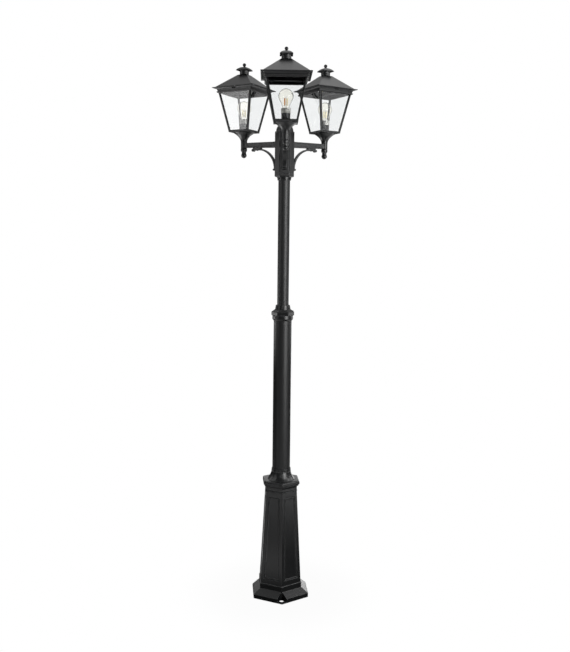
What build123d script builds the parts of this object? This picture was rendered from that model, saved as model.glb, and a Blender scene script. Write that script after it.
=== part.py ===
from build123d import *
from math import cos, hypot, pi
import os

# Three-lantern garden lamp post in cast and tubular aluminium. Millimetres, ground at z = 0, post axis on Z.
# The front arm points along -Y, and the other two stand 120 degrees either side of it.

# Foot, plinth and pedestal: one six-sided casting
FOOT_CORNER_RADIUS = 139.0
FOOT_EDGE_HEIGHT = 18.0
FOOT_SLOPE_HEIGHT = 21.0
PLINTH_CORNER_RADIUS = 105.0
PLINTH_HEIGHT = 23.0
PEDESTAL_LOW_CORNER_RADIUS = 102.0
PEDESTAL_HIGH_CORNER_RADIUS = 78.0
PEDESTAL_HEIGHT = 412.0
MOULDING_CORNER_RADIUS = 86.0
MOULDING_HEIGHT = 31.0
MOULDING_BEAD = 5.0
MOULDING_BEAD_REACH = 0.8
MOULDING_COVE = 11.0
MOULDING_COVE_HOLLOW = 2.6
MOULDING_FILLET = 6.0
BASE_WALL = 5.0
BASE_TOP_PLATE = 14.0
BASE_TURN = 3.4
PANEL_MARGIN = 13.0
PANEL_END_MARGIN = 23.0
PANEL_BEAD = 3.0
PANEL_DEPTH = 2.5

# Anchor corners of the foot
ANCHOR_COUNT = 3
ANCHOR_RADIUS = 110.0
ANCHOR_HOLE_RADIUS = 9.5
ANCHOR_FLOOR = 3.5
ANCHOR_BOSS_RADIUS = 24.0
NOTCH_BACK_SETBACK = 6.0
NOTCH_BACK_WIDTH = 7.0
NOTCH_FRONT_WIDTH = 60.0

# Cap over the pedestal
CAP_CORNER_RADIUS = 90.5
CAP_BAND_HEIGHT = 16.0
CAP_FOOT_ROUND = 2.5
CAP_TOP_ROUND = 8.0
CAP_WALL = 4.0
BELL_FOOT_RADIUS = 60.0
BELL_HEIGHT = 34.0
BELL_HOLLOW = 2.2
CAP_RING_RADIUS = 42.0
CAP_RING_BEAD = 4.0
CAP_RING_HEIGHT = 14.0

# Lower tube with its welded flange
LOWER_TUBE_RADIUS = 39.0
LOWER_TUBE_WALL = 3.0
LOWER_TUBE_EXPOSED = 654.0
LOWER_TUBE_INSET = 90.0
FLANGE_RADIUS = 62.0
FLANGE_THICKNESS = 8.0
FLANGE_SCREW_COUNT = 6
FLANGE_SCREW_TURN = 30.0
FLANGE_SCREW_CIRCLE = 52.0
FLANGE_SCREW_RADIUS = 3.0
FLANGE_SCREW_HEAD_RADIUS = 5.0
FLANGE_SCREW_HEAD = 5.0

# Collar between the two tubes
COLLAR_CHAMFER = 7.0
COLLAR_SKIRT_RADIUS = 45.0
COLLAR_SKIRT_HEIGHT = 16.0
COLLAR_BAND_CORNER_RADIUS = 49.5
COLLAR_BAND_HEIGHT = 15.0
COLLAR_SLOPE_HEIGHT = 12.0
COLLAR_NECK_RADIUS = 33.5
COLLAR_NECK_TOP_RADIUS = 30.5
COLLAR_NECK_HEIGHT = 18.0
COLLAR_SLEEVE_WALL = 5.0
COLLAR_SLEEVE_DEPTH = 60.0
COLLAR_LIP = 5.0
COLLAR_SCREW_TURN = -120.0
COLLAR_SCREW_RISE = 4.0
COLLAR_SCREW_REACH = 46.0

# Grub screws
GRUB_RADIUS = 2.5
GRUB_SOCKET_RADIUS = 1.4
GRUB_SOCKET_DEPTH = 2.0
GRUB_COUNT = 3
CAP_GRUB_TURN = 90.0
HUB_GRUB_TURN = 90.0

# Upper tube
UPPER_TUBE_RADIUS = 25.0
UPPER_TUBE_WALL = 2.5
UPPER_TUBE_EXPOSED = 532.0

# Hub and its dome
HUB_COLLAR_LOW_RADIUS = 28.5
HUB_COLLAR_HIGH_RADIUS = 31.0
HUB_COLLAR_HEIGHT = 14.0
HUB_RIM_CORNER_RADIUS = 41.5
HUB_RIM_HEIGHT = 13.0
HUB_RIM_CHAMFER = 3.0
HUB_PANEL_HEIGHT = 172.0
HUB_SHOULDER_HEIGHT = 5.0
HUB_CORE_HALF = 33.0
HUB_WALL = 7.0
HUB_SOCKET_DEPTH = 45.0
HUB_STOP = 6.0
HUB_PLATE = 4.0
HUB_PLATE_WIDTH = 37.5
HUB_BRIDGE_WIDTH = 12.0
HUB_BRIDGE_HEIGHT = 6.0
HUB_BRIDGE_DROP = 31.0
HUB_CAP_RADIUS = 36.5
HUB_CAP_STEP = 4.0
HUB_CAP_DOME = 31.0
HUB_CAP_TOP_RADIUS = 7.0
HUB_CAP_WALL = 3.0
HUB_CAP_SPIGOT = 5.0
CAP_SCREW_RADIUS = 2.5
CAP_SCREW_HEAD_RADIUS = 5.0
CAP_SCREW_HEAD = 2.5

# Arms
ARM_ANGLES = {"front": -90.0, "right": 30.0, "left": 150.0}
ARM_REACH = 203.0
ARM_ROOT_RISE = 124.7
ARM_RISE = 4.3
ARM_ROOT_HEIGHT = 24.5
ARM_TIP_HEIGHT = 20.0
ARM_WIDTH = 18.0
ARM_GROOVE_MARGIN = 5.5
ARM_GROOVE_DEPTH = 2.0
ARM_FLARE_HEIGHT = 31.0
ARM_FLARE_WIDTH = 25.0
ARM_FLARE_LENGTH = 12.0
ARM_CHANNEL_RADIUS = 4.0
ARM_INLET_RADIUS = 5.0
ARM_INLET_LENGTH = 10.0
BOSS_RADIUS = 13.5
BOSS_HEIGHT = 22.0
BOSS_WALL = 3.5
BOSS_END_WALL = 4.5

# Scroll brackets
BRACKET_THICKNESS = 7.0
BRACKET_WIDTH = 16.5
BRACKET_ARC_RADIUS = 86.0
BRACKET_PAD = 4.0
BRACKET_LEG = 3.0
BRACKET_LEG_PAD = 20.0
BRACKET_BOLT_RISE = 13.0
BRACKET_TOP_RUN = 24.0
BRACKET_TOP_PAD_INSET = 16.0
BRACKET_TOP_PAD = 38.0
BRACKET_LOW_ROLL_RADIUS = 4.4
BRACKET_HIGH_ROLL_RADIUS = 5.6
BRACKET_SCREW_RADIUS = 2.0
BRACKET_SCREW_HEAD_RADIUS = 4.0
BRACKET_SCREW_HEAD = 2.5
BRACKET_SCREW_BITE = 3.5

# Bolts from inside the hub
HUB_BOLT_RADIUS = 2.5
HUB_BOLT_HEAD_RADIUS = 4.2
HUB_BOLT_HEAD = 3.5
HUB_BOLT_TOP_DROP = 16.0
HUB_BOLT_BITE = 5.0

# Turned finials under the arm ends
FINIAL_TOP_RADIUS = 12.5
FINIAL_BULGE_RADIUS = 14.0
FINIAL_BULGE_HEIGHT = 15.0
FINIAL_NECK_RADIUS = 9.8
FINIAL_NECK_HEIGHT = 9.5
FINIAL_BALL_RADIUS = 12.0
FINIAL_STUD_RADIUS = 4.0

# Bell cups and nipples
CUP_HEIGHT = 44.0
CUP_FOOT_RADIUS = 13.5
CUP_WAIST_RADIUS = 22.0
CUP_WAIST_HEIGHT = 28.0
CUP_RIM_RADIUS = 40.0
CUP_RIM_EDGE = 1.5
CUP_WALL = 3.0
CUP_FLOOR = 8.0
NIPPLE_RADIUS = 5.0
NIPPLE_BORE_RADIUS = 3.4
NIPPLE_BITE = 4.0
NIPPLE_IN_HOLDER = 10.0

# Lantern frames and panes
TRAY_SIDE = 98.0
TRAY_THICKNESS = 4.0
LIGHT_HEIGHT = 158.0
FRAME_TOP_SIDE = 161.0
FRAME_DEPTH = 7.0
BAR_WIDTH = 8.5
LOW_RAIL = 4.0
HIGH_RAIL = 0.5
CORNICE_HEIGHT = 20.0
CORNICE_BEAD = 6.0
CORNICE_REACH = 11.5
PANE_THICKNESS = 2.5
PANE_SETBACK = 2.0
PANE_LAP = 2.0
PANE_RISE = 3.0

# Bridge strap with the roof stud
STRAP_WIDTH = 14.0
STRAP_THICKNESS = 3.0
TAB_WIDTH = 24.0
TAB_HEIGHT = 19.0
STRAP_SCREW_SPACING = 10.0
STRAP_SCREW_RISE = 15.5
STRAP_SCREW_RADIUS = 1.9
STRAP_SCREW_HEAD_RADIUS = 3.2
STRAP_SCREW_HEAD = 2.0
STRAP_SCREW_SLOT = 0.9
STRAP_SCREW_SINK = 3.0
STUD_RADIUS = 2.5
STUD_NUT_RADIUS = 5.0
STUD_NUT_HEIGHT = 4.0

# Lampholders
HOLDER_RADIUS = 18.0
HOLDER_FOOT_RADIUS = 20.5
HOLDER_FOOT_HEIGHT = 4.0
HOLDER_HEIGHT = 32.0
HOLDER_BORE_RADIUS = 14.3
HOLDER_FLOOR = 15.0
HOLDER_RING_RADIUS = 19.3
HOLDER_RING_BORE_RADIUS = 14.6
HOLDER_RING_HEIGHT = 20.0

# Screw-cap filament bulbs
BULB_RADIUS = 30.0
BULB_HEIGHT = 77.0
BULB_NECK_RADIUS = 12.2
BULB_GLASS = 1.0
BULB_SHOULDER_ANGLE_COS = cos(pi / 6)
BULB_CAP_RADIUS = 13.2
BULB_CAP_WALL = 0.6
BULB_CAP_HEIGHT = 27.0
BULB_CAP_RIB = 1.8
BULB_CAP_RIBS = 6
BULB_CONTACT_RADIUS = 5.0
BULB_CONTACT_HEIGHT = 4.0
STEM_RADIUS = 6.5
STEM_TIP_RADIUS = 3.0
STEM_HEIGHT = 24.0
FILAMENT_RADIUS = 1.2
FILAMENT_HEIGHT = 28.0
FILAMENT_WIRE_RADIUS = 0.5
FILAMENT_WIRE_OFFSET = 2.2

# Roofs, hats and ball finials
EAVE_SIDE = 202.0
EAVE_THICKNESS = 2.5
EAVE_LIP = 9.5
ROOF_SPRING = 1.5
ROOF_RISE = 60.0
ROOF_TOP_SIDE = 41.0
ROOF_WALL = 3.0
ROOF_SKIRT = 2.5
ROOF_SKIRT_WALL = 2.0
CHIMNEY_RADIUS = 19.8
CHIMNEY_WALL = 3.0
CHIMNEY_HEIGHT = 18.0
HAT_SIDE = 53.0
HAT_EDGE = 2.5
HAT_HEIGHT = 16.0
HAT_TOP_SIDE = 12.0
HAT_DOME = 2.2
HAT_RECESS = 2.0
HAT_RIM = 3.0
BALL_RADIUS = 7.5
BALL_NECK_RADIUS = 4.2
BALL_RISE = 8.5
STUD_IN_BALL = 8.0

# Wiring
TRAY_PLATE = 3.0
GEAR_TRAY_OFFSET = 53.0
GEAR_TRAY_WIDTH = 68.0
GEAR_TRAY_DROP = 250.0
TERMINAL_WIDTH = 56.0
TERMINAL_DEPTH = 22.0
TERMINAL_HEIGHT = 30.0
TERMINAL_POLES = 3
TERMINAL_SCREW_RADIUS = 3.0
TERMINAL_SCREW_DEPTH = 4.0
MAST_CABLE_RADIUS = 4.5
MAST_CABLE_BEND = 40.0
MAST_CABLE_LEAD = 30.0
MAST_CABLE_SWING = 90.0
CONNECTOR_RADIUS = 15.0
CONNECTOR_HEIGHT = 24.0
ARM_LEAD_RADIUS = 2.5
ARM_LEAD_BEND = 7.5

# Clearances
FIXED_CLEARANCE = 0.1
RUNNING_CLEARANCE = 0.05
SCREW_CLEARANCE = 0.1
SOFT_CLEARANCE = 0.3
LOOSE_CLEARANCE = 0.6

# Shares of a hexagon and a ladder of heights up the post
HEX_FLAT = cos(pi / 6)
PLINTH_Z = FOOT_EDGE_HEIGHT + FOOT_SLOPE_HEIGHT
PEDESTAL_Z = PLINTH_Z + PLINTH_HEIGHT
MOULDING_Z = PEDESTAL_Z + PEDESTAL_HEIGHT
BASE_TOP_Z = MOULDING_Z + MOULDING_HEIGHT
BASE_PLATE_Z = BASE_TOP_Z - BASE_TOP_PLATE
BELL_Z = BASE_TOP_Z + CAP_BAND_HEIGHT
RING_Z = BELL_Z + BELL_HEIGHT
CAP_TOP_Z = RING_Z + CAP_RING_HEIGHT
COLLAR_Z = CAP_TOP_Z + LOWER_TUBE_EXPOSED
SKIRT_Z = COLLAR_Z + COLLAR_CHAMFER
BAND_Z = SKIRT_Z + COLLAR_SKIRT_HEIGHT
BAND_TOP_Z = BAND_Z + COLLAR_BAND_HEIGHT
NECK_Z = BAND_TOP_Z + COLLAR_SLOPE_HEIGHT
COLLAR_TOP_Z = NECK_Z + COLLAR_NECK_HEIGHT
LIP_Z = BAND_Z - COLLAR_SLEEVE_DEPTH
HUB_Z = COLLAR_TOP_Z + UPPER_TUBE_EXPOSED
RIM_Z = HUB_Z + HUB_COLLAR_HEIGHT
PANEL_Z = RIM_Z + HUB_RIM_HEIGHT
SHOULDER_Z = PANEL_Z + HUB_PANEL_HEIGHT
HUB_TOP_Z = SHOULDER_Z + HUB_SHOULDER_HEIGHT
SOCKET_TOP_Z = HUB_Z + HUB_SOCKET_DEPTH
CAVITY_Z = SOCKET_TOP_Z + HUB_STOP
BRIDGE_Z = HUB_TOP_Z - HUB_BRIDGE_DROP - HUB_BRIDGE_HEIGHT
CONNECTOR_Z = BRIDGE_Z - CONNECTOR_HEIGHT
PLATE_FACE = HUB_CORE_HALF + HUB_PLATE
ARM_ROOT_Z = PANEL_Z + ARM_ROOT_RISE
ARM_TIP_Z = ARM_ROOT_Z + ARM_RISE
BOSS_Z = ARM_TIP_Z - BOSS_HEIGHT / 2
CUP_Z = ARM_TIP_Z + BOSS_HEIGHT / 2
TRAY_Z = CUP_Z + CUP_HEIGHT
LIGHT_Z = TRAY_Z + TRAY_THICKNESS
CORNICE_Z = LIGHT_Z + LIGHT_HEIGHT
EAVE_Z = CORNICE_Z + CORNICE_HEIGHT
SLOPE_Z = EAVE_Z + EAVE_THICKNESS
CHIMNEY_Z = SLOPE_Z + ROOF_RISE
HAT_Z = CHIMNEY_Z + CHIMNEY_HEIGHT
HAT_TOP_Z = HAT_Z + HAT_HEIGHT
BALL_Z = HAT_TOP_Z + BALL_RISE
RING_TOP_Z = LIGHT_Z + HOLDER_HEIGHT + HOLDER_RING_HEIGHT
BULB_SEAT_Z = LIGHT_Z + HOLDER_FLOOR


def outline_face(points):
    """Closed face in the XZ plane; a point's third number bows the line to it, left of travel if positive."""
    edges = []
    for before, after in zip(points, points[1:] + points[:1]):
        if len(after) == 3:
            edges.append(SagittaArc(before[:2], after[:2], after[2]))
        else:
            edges.append(Line(before[:2], after[:2]))
    return Plane.XZ * make_face(edges)


def turned(points):
    """Solid of revolution about the Z axis."""
    return revolve(outline_face(points), Axis.Z)


def rod(low, high, radius):
    """Upright cylinder on the Z axis."""
    return turned([(0, low), (radius, low), (radius, high), (0, high)])


def tube(low, high, outer, inner):
    """Upright tube on the Z axis."""
    return turned([(inner, low), (outer, low), (outer, high), (inner, high)])


def faceted(points, sides):
    """Mitred solid with flat sides: every side has the same half outline, which starts and ends on the axis."""
    half = outline_face(points)
    reach = 2 * max(point[0] for point in points)
    slab = extrude(half + mirror(half, Plane.YZ), reach, both=True)
    form = slab
    for turn in range(1, sides // 2):
        form = form & (Rot(0, 0, turn * 360 / sides) * slab)
    return form


def level_rod(start, end, height, radius, across=0.0):
    """Cylinder along X from start to end."""
    base = Cylinder(radius, end - start, align=(Align.CENTER, Align.CENTER, Align.MIN))
    return Pos(start, across, height) * Rot(0, 90, 0) * base


def grub_screw(start, end, height):
    """Grub screw along X with a hexagon socket in its outer end."""
    key = extrude(RegularPolygon(GRUB_SOCKET_RADIUS, 6), GRUB_SOCKET_DEPTH)
    socket = Pos(end - GRUB_SOCKET_DEPTH, 0, height) * Rot(0, 90, 0) * key
    return level_rod(start, end, height, GRUB_RADIUS) - socket


def cross_rod(start, end, height, radius, along=0.0):
    """Cylinder along Y from start to end."""
    base = Cylinder(radius, end - start, align=(Align.CENTER, Align.CENTER, Align.MIN))
    return Pos(along, start, height) * Rot(-90, 0, 0) * base


def block(low, high):
    """Box between two corners."""
    size = [b - a for a, b in zip(low, high)]
    return Pos(*low) * Box(*size, align=(Align.MIN, Align.MIN, Align.MIN))


def around(piece, count, start=0.0):
    """Copies of a piece evenly round the Z axis."""
    return [Rot(0, 0, start + turn * 360 / count) * piece for turn in range(count)]


def at_lantern(piece, angle):
    """Move a piece modelled on the Z axis to the lantern of the arm at that angle."""
    return Rot(0, 0, angle) * Pos(ARM_REACH, 0, 0) * piece


def cable(points, bend, radius):
    """Round cable along straight runs joined by tangent arcs."""
    path = FilletPolyline(*points, radius=bend)
    section = Plane(origin=path @ 0, z_dir=path % 0) * Circle(radius)
    return sweep(section, path)


def save(name, solids):
    """Write one node, a single solid or a group of like ones."""
    group = solids if isinstance(solids, list) else [solids]
    shape = group[0] if len(group) == 1 else Compound(children=group)
    shape.label = name
    export_step(shape, f"parts/{name}.step")


# Base casting
def pedestal_half(height):
    """Half width across the flats of the pedestal at a height."""
    share = (height - PEDESTAL_Z) / PEDESTAL_HEIGHT
    corner = PEDESTAL_LOW_CORNER_RADIUS
    corner += share * (PEDESTAL_HIGH_CORNER_RADIUS - PEDESTAL_LOW_CORNER_RADIUS)
    return corner * HEX_FLAT


def panel_outline(inset):
    """Four corners of a pedestal panel, drawn inside its border by an inset, as (across, height)."""
    low = PEDESTAL_Z + PANEL_END_MARGIN + inset
    high = MOULDING_Z - PANEL_END_MARGIN - inset
    low_half = pedestal_half(low) / HEX_FLAT / 2 - PANEL_MARGIN - inset
    high_half = pedestal_half(high) / HEX_FLAT / 2 - PANEL_MARGIN - inset
    return [(-low_half, low), (low_half, low), (high_half, high), (-high_half, high)]


def panel_cut():
    """Sunk border groove and sunk field of one pedestal panel, either side of a thin bead, on the +X face."""
    low_half = pedestal_half(PEDESTAL_Z)
    lean = low_half - pedestal_half(MOULDING_Z)
    length = hypot(lean, PEDESTAL_HEIGHT)
    outward = (PEDESTAL_HEIGHT / length, 0, lean / length)
    face = Plane(origin=(low_half, 0, PEDESTAL_Z), x_dir=(0, 1, 0), z_dir=outward)
    stretch = length / PEDESTAL_HEIGHT

    def flat(inset):
        corners = [(across, (height - PEDESTAL_Z) * stretch) for across, height in panel_outline(inset)]
        return make_face(Polyline(*corners, close=True))

    sunk = flat(0) - flat(PANEL_BEAD) + flat(2 * PANEL_BEAD)
    return extrude(face * sunk, PANEL_DEPTH, both=True)


def anchor_notch():
    """Open notch over one anchor hole, on the +X corner of the foot."""
    back = ANCHOR_RADIUS - NOTCH_BACK_SETBACK
    front = FOOT_CORNER_RADIUS
    flare = (NOTCH_FRONT_WIDTH - NOTCH_BACK_WIDTH) / (front - back) / 2
    far = front + NOTCH_FRONT_WIDTH
    far_half = NOTCH_BACK_WIDTH / 2 + flare * (far - back)
    back_half = NOTCH_BACK_WIDTH / 2
    plan = make_face(Polyline((back, -back_half), (far, -far_half), (far, far_half), (back, back_half), close=True))
    notch = Pos(0, 0, ANCHOR_FLOOR) * extrude(plan, PLINTH_Z - ANCHOR_FLOOR)
    hole = Pos(ANCHOR_RADIUS, 0, 0) * rod(-ANCHOR_FLOOR, FOOT_EDGE_HEIGHT, ANCHOR_HOLE_RADIUS)
    return notch + hole


foot_half = FOOT_CORNER_RADIUS * HEX_FLAT
plinth_half = PLINTH_CORNER_RADIUS * HEX_FLAT
moulding_half = MOULDING_CORNER_RADIUS * HEX_FLAT
pedestal_top_half = pedestal_half(MOULDING_Z)
base_outer = faceted(
    [
        (0, 0),
        (foot_half, 0),
        (foot_half, FOOT_EDGE_HEIGHT),
        (plinth_half, PLINTH_Z),
        (plinth_half, PEDESTAL_Z),
        (pedestal_half(PEDESTAL_Z), PEDESTAL_Z),
        (pedestal_top_half, MOULDING_Z),
        (pedestal_top_half + MOULDING_BEAD_REACH, MOULDING_Z),
        (pedestal_top_half + MOULDING_BEAD_REACH, MOULDING_Z + MOULDING_BEAD, -MOULDING_BEAD_REACH),
        (pedestal_top_half, MOULDING_Z + MOULDING_BEAD),
        (pedestal_top_half, BASE_TOP_Z - MOULDING_FILLET - MOULDING_COVE),
        (moulding_half, BASE_TOP_Z - MOULDING_FILLET, MOULDING_COVE_HOLLOW),
        (moulding_half, BASE_TOP_Z),
        (0, BASE_TOP_Z),
    ],
    6,
)
room_half = pedestal_half(PEDESTAL_Z) - BASE_WALL
pedestal_room = faceted(
    [
        (0, 0),
        (room_half, 0),
        (room_half, PEDESTAL_Z),
        (pedestal_half(BASE_PLATE_Z) - BASE_WALL, BASE_PLATE_Z),
        (0, BASE_PLATE_Z),
    ],
    6,
)
foot_core = faceted(
    [
        (0, 0),
        (foot_half - BASE_WALL, 0),
        (foot_half - BASE_WALL, FOOT_EDGE_HEIGHT - BASE_WALL),
        (room_half, PLINTH_Z - BASE_WALL),
        (0, PLINTH_Z - BASE_WALL),
    ],
    6,
)
anchor_post = Pos(ANCHOR_RADIUS, 0, 0) * rod(0, PLINTH_Z, ANCHOR_BOSS_RADIUS)
anchor_angle = -90.0
foot_hollow = foot_core - around(anchor_post, ANCHOR_COUNT, anchor_angle)
base_casting = base_outer - pedestal_room - foot_hollow
base_casting = base_casting - around(anchor_notch(), ANCHOR_COUNT, anchor_angle)
base_casting = base_casting - around(panel_cut(), 6)
base_casting = base_casting - rod(BASE_PLATE_Z, BASE_TOP_Z, LOWER_TUBE_RADIUS + FIXED_CLEARANCE)
flange_hole = Pos(FLANGE_SCREW_CIRCLE, 0, 0) * rod(BASE_PLATE_Z, BASE_TOP_Z, FLANGE_SCREW_RADIUS + SCREW_CLEARANCE)
flange_holes = around(flange_hole, FLANGE_SCREW_COUNT, FLANGE_SCREW_TURN)
base_casting = base_casting - flange_holes
base_casting = Rot(0, 0, BASE_TURN) * base_casting

# Lower tube, its flange and the flange screws
flange = tube(BASE_TOP_Z, BASE_TOP_Z + FLANGE_THICKNESS, FLANGE_RADIUS, LOWER_TUBE_RADIUS - LOWER_TUBE_WALL)
flange_cut = Pos(FLANGE_SCREW_CIRCLE, 0, 0) * rod(
    BASE_TOP_Z, BASE_TOP_Z + FLANGE_THICKNESS, FLANGE_SCREW_RADIUS + SCREW_CLEARANCE
)
tube_low = BASE_TOP_Z - LOWER_TUBE_INSET
lower_tube = tube(tube_low, BAND_Z, LOWER_TUBE_RADIUS, LOWER_TUBE_RADIUS - LOWER_TUBE_WALL) + flange
lower_tube = lower_tube - around(flange_cut, FLANGE_SCREW_COUNT, FLANGE_SCREW_TURN)
lower_tube = Rot(0, 0, BASE_TURN) * lower_tube
head_z = BASE_TOP_Z + FLANGE_THICKNESS
flange_screw = rod(BASE_PLATE_Z - TRAY_PLATE, head_z, FLANGE_SCREW_RADIUS)
flange_screw = flange_screw + rod(head_z, head_z + FLANGE_SCREW_HEAD, FLANGE_SCREW_HEAD_RADIUS)
flange_screw = Pos(FLANGE_SCREW_CIRCLE, 0, 0) * flange_screw
flange_screws = around(flange_screw, FLANGE_SCREW_COUNT, FLANGE_SCREW_TURN + BASE_TURN)

# Base cap
cap_half = CAP_CORNER_RADIUS * HEX_FLAT
cap_bore = LOWER_TUBE_RADIUS + FIXED_CLEARANCE
quarter_bow = CAP_TOP_ROUND * (1 - cos(pi / 4))
cap_band = faceted(
    [
        (0, BASE_TOP_Z),
        (cap_half - CAP_FOOT_ROUND / 2, BASE_TOP_Z),
        (cap_half, BASE_TOP_Z + CAP_FOOT_ROUND, -CAP_FOOT_ROUND / 5),
        (cap_half, BELL_Z - CAP_TOP_ROUND),
        (cap_half - CAP_TOP_ROUND, BELL_Z, -quarter_bow),
        (0, BELL_Z),
    ],
    6,
)
bell = turned(
    [
        (0, BELL_Z - CAP_WALL),
        (BELL_FOOT_RADIUS, BELL_Z - CAP_WALL),
        (BELL_FOOT_RADIUS, BELL_Z),
        (CAP_RING_RADIUS, RING_Z, BELL_HOLLOW),
        (CAP_RING_RADIUS, RING_Z + CAP_RING_BEAD, -CAP_RING_BEAD / 4),
        (CAP_RING_RADIUS, CAP_TOP_Z),
        (0, CAP_TOP_Z),
    ]
)
cap_room_radius = FLANGE_RADIUS + CAP_WALL
cap_room = turned(
    [
        (0, BASE_TOP_Z),
        (cap_room_radius, BASE_TOP_Z),
        (cap_room_radius, BELL_Z - 2 * CAP_WALL),
        (BELL_FOOT_RADIUS - CAP_WALL / 2, BELL_Z - CAP_WALL / 2),
        (cap_bore + CAP_WALL, BELL_Z + BELL_HEIGHT / 2),
        (cap_bore, BELL_Z + BELL_HEIGHT / 2),
        (cap_bore, CAP_TOP_Z),
        (0, CAP_TOP_Z),
    ]
)
cap_grub_z = CAP_TOP_Z - CAP_RING_HEIGHT / 2 + CAP_RING_BEAD / 2
cap_grub_hole = level_rod(0, CAP_CORNER_RADIUS, cap_grub_z, GRUB_RADIUS + SCREW_CLEARANCE)
base_cap = cap_band + bell - cap_room - around(cap_grub_hole, GRUB_COUNT, CAP_GRUB_TURN)
base_cap = Rot(0, 0, BASE_TURN) * base_cap
cap_grub = grub_screw(0, CAP_RING_RADIUS, cap_grub_z)
cap_grub = cap_grub - rod(0, CAP_TOP_Z, LOWER_TUBE_RADIUS + FIXED_CLEARANCE / 2)

# Mast collar and its grub screws
upper_bore = UPPER_TUBE_RADIUS + RUNNING_CLEARANCE
band_half = COLLAR_BAND_CORNER_RADIUS * HEX_FLAT
collar_skirt = turned(
    [
        (0, COLLAR_Z),
        (LOWER_TUBE_RADIUS + 2 * FIXED_CLEARANCE, COLLAR_Z),
        (COLLAR_SKIRT_RADIUS, SKIRT_Z),
        (COLLAR_SKIRT_RADIUS, BAND_Z),
        (0, BAND_Z),
    ]
)
collar_band = faceted(
    [
        (0, BAND_Z),
        (band_half, BAND_Z),
        (band_half, BAND_TOP_Z),
        (COLLAR_NECK_RADIUS * HEX_FLAT, NECK_Z),
        (0, NECK_Z),
    ],
    6,
)
collar_neck = turned(
    [
        (0, BAND_Z),
        (COLLAR_NECK_RADIUS, BAND_Z),
        (COLLAR_NECK_RADIUS, NECK_Z),
        (COLLAR_NECK_TOP_RADIUS, COLLAR_TOP_Z),
        (0, COLLAR_TOP_Z),
    ]
)
collar_sleeve = rod(LIP_Z - COLLAR_LIP, BAND_Z, upper_bore + COLLAR_SLEEVE_WALL)
collar_socket = tube(
    COLLAR_Z, BAND_Z, LOWER_TUBE_RADIUS + FIXED_CLEARANCE, upper_bore + COLLAR_SLEEVE_WALL
)
cable_hole = UPPER_TUBE_RADIUS - UPPER_TUBE_WALL
collar_grub_z = BAND_TOP_Z + COLLAR_SCREW_RISE
collar_grub_hole = level_rod(0, COLLAR_BAND_CORNER_RADIUS, collar_grub_z, GRUB_RADIUS + SCREW_CLEARANCE)
mast_collar = collar_skirt + Rot(0, 0, 30) * collar_band + collar_neck - collar_socket + collar_sleeve
mast_collar = mast_collar - rod(LIP_Z, COLLAR_TOP_Z, upper_bore) - rod(LIP_Z - COLLAR_LIP, LIP_Z, cable_hole)
mast_collar = mast_collar - around(collar_grub_hole, GRUB_COUNT, COLLAR_SCREW_TURN)
collar_grub = grub_screw(UPPER_TUBE_RADIUS + SOFT_CLEARANCE, COLLAR_SCREW_REACH, collar_grub_z)
post_grub_screws = around(cap_grub, GRUB_COUNT, CAP_GRUB_TURN + BASE_TURN)
post_grub_screws += around(collar_grub, GRUB_COUNT, COLLAR_SCREW_TURN)

# Upper tube
upper_tube = tube(LIP_Z, SOCKET_TOP_Z, UPPER_TUBE_RADIUS, UPPER_TUBE_RADIUS - UPPER_TUBE_WALL)


def arm_edge(along, side):
    """Height of the arm's top (side 1) or bottom (side -1) edge at a distance from the post axis."""
    share = (along - PLATE_FACE) / (ARM_REACH - PLATE_FACE)
    middle = ARM_ROOT_Z + share * ARM_RISE
    depth = ARM_ROOT_HEIGHT + share * (ARM_TIP_HEIGHT - ARM_ROOT_HEIGHT)
    return middle + side * depth / 2


# Hub: collar, rim, six-sided core with a plate on each face between the arms, and a bridge for the cap screw
rim_half = HUB_RIM_CORNER_RADIUS * HEX_FLAT
room_flat = HUB_CORE_HALF - HUB_WALL
hub_collar = turned(
    [(0, HUB_Z), (HUB_COLLAR_LOW_RADIUS, HUB_Z), (HUB_COLLAR_HIGH_RADIUS, RIM_Z), (0, RIM_Z)]
)
hub_core = faceted(
    [
        (0, RIM_Z),
        (rim_half - HUB_RIM_CHAMFER, RIM_Z),
        (rim_half, RIM_Z + HUB_RIM_CHAMFER),
        (rim_half, PANEL_Z),
        (HUB_CORE_HALF, PANEL_Z),
        (HUB_CORE_HALF, SHOULDER_Z),
        (rim_half, SHOULDER_Z),
        (rim_half, HUB_TOP_Z),
        (0, HUB_TOP_Z),
    ],
    6,
)
hub_room = faceted([(0, CAVITY_Z), (room_flat, CAVITY_Z), (room_flat, HUB_TOP_Z), (0, HUB_TOP_Z)], 6)
face_plate = block(
    (HUB_CORE_HALF, -HUB_PLATE_WIDTH / 2, PANEL_Z), (PLATE_FACE, HUB_PLATE_WIDTH / 2, SHOULDER_Z)
)
hub_bridge = block(
    (-room_flat, -HUB_BRIDGE_WIDTH / 2, BRIDGE_Z), (room_flat, HUB_BRIDGE_WIDTH / 2, BRIDGE_Z + HUB_BRIDGE_HEIGHT)
)
leg_mid = PLATE_FACE + BRACKET_PAD + BRACKET_THICKNESS / 2
pad_start = leg_mid + BRACKET_ARC_RADIUS - BRACKET_TOP_PAD_INSET
pad_end = pad_start + BRACKET_TOP_PAD
bracket_screw_at = (pad_start + pad_end) / 2
strip_mid_z = arm_edge(bracket_screw_at, -1) - BRACKET_PAD - BRACKET_THICKNESS / 2
arc_middle = (leg_mid + BRACKET_ARC_RADIUS, strip_mid_z - BRACKET_ARC_RADIUS)
leg_low_z = arc_middle[1] - BRACKET_LEG
bolt_low_z = leg_low_z + BRACKET_BOLT_RISE
bolt_high_z = SHOULDER_Z - HUB_BOLT_TOP_DROP
bolt_hole_radius = HUB_BOLT_RADIUS + SCREW_CLEARANCE
arm_holes = level_rod(0, HUB_CORE_HALF, ARM_ROOT_Z, ARM_INLET_RADIUS)
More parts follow.
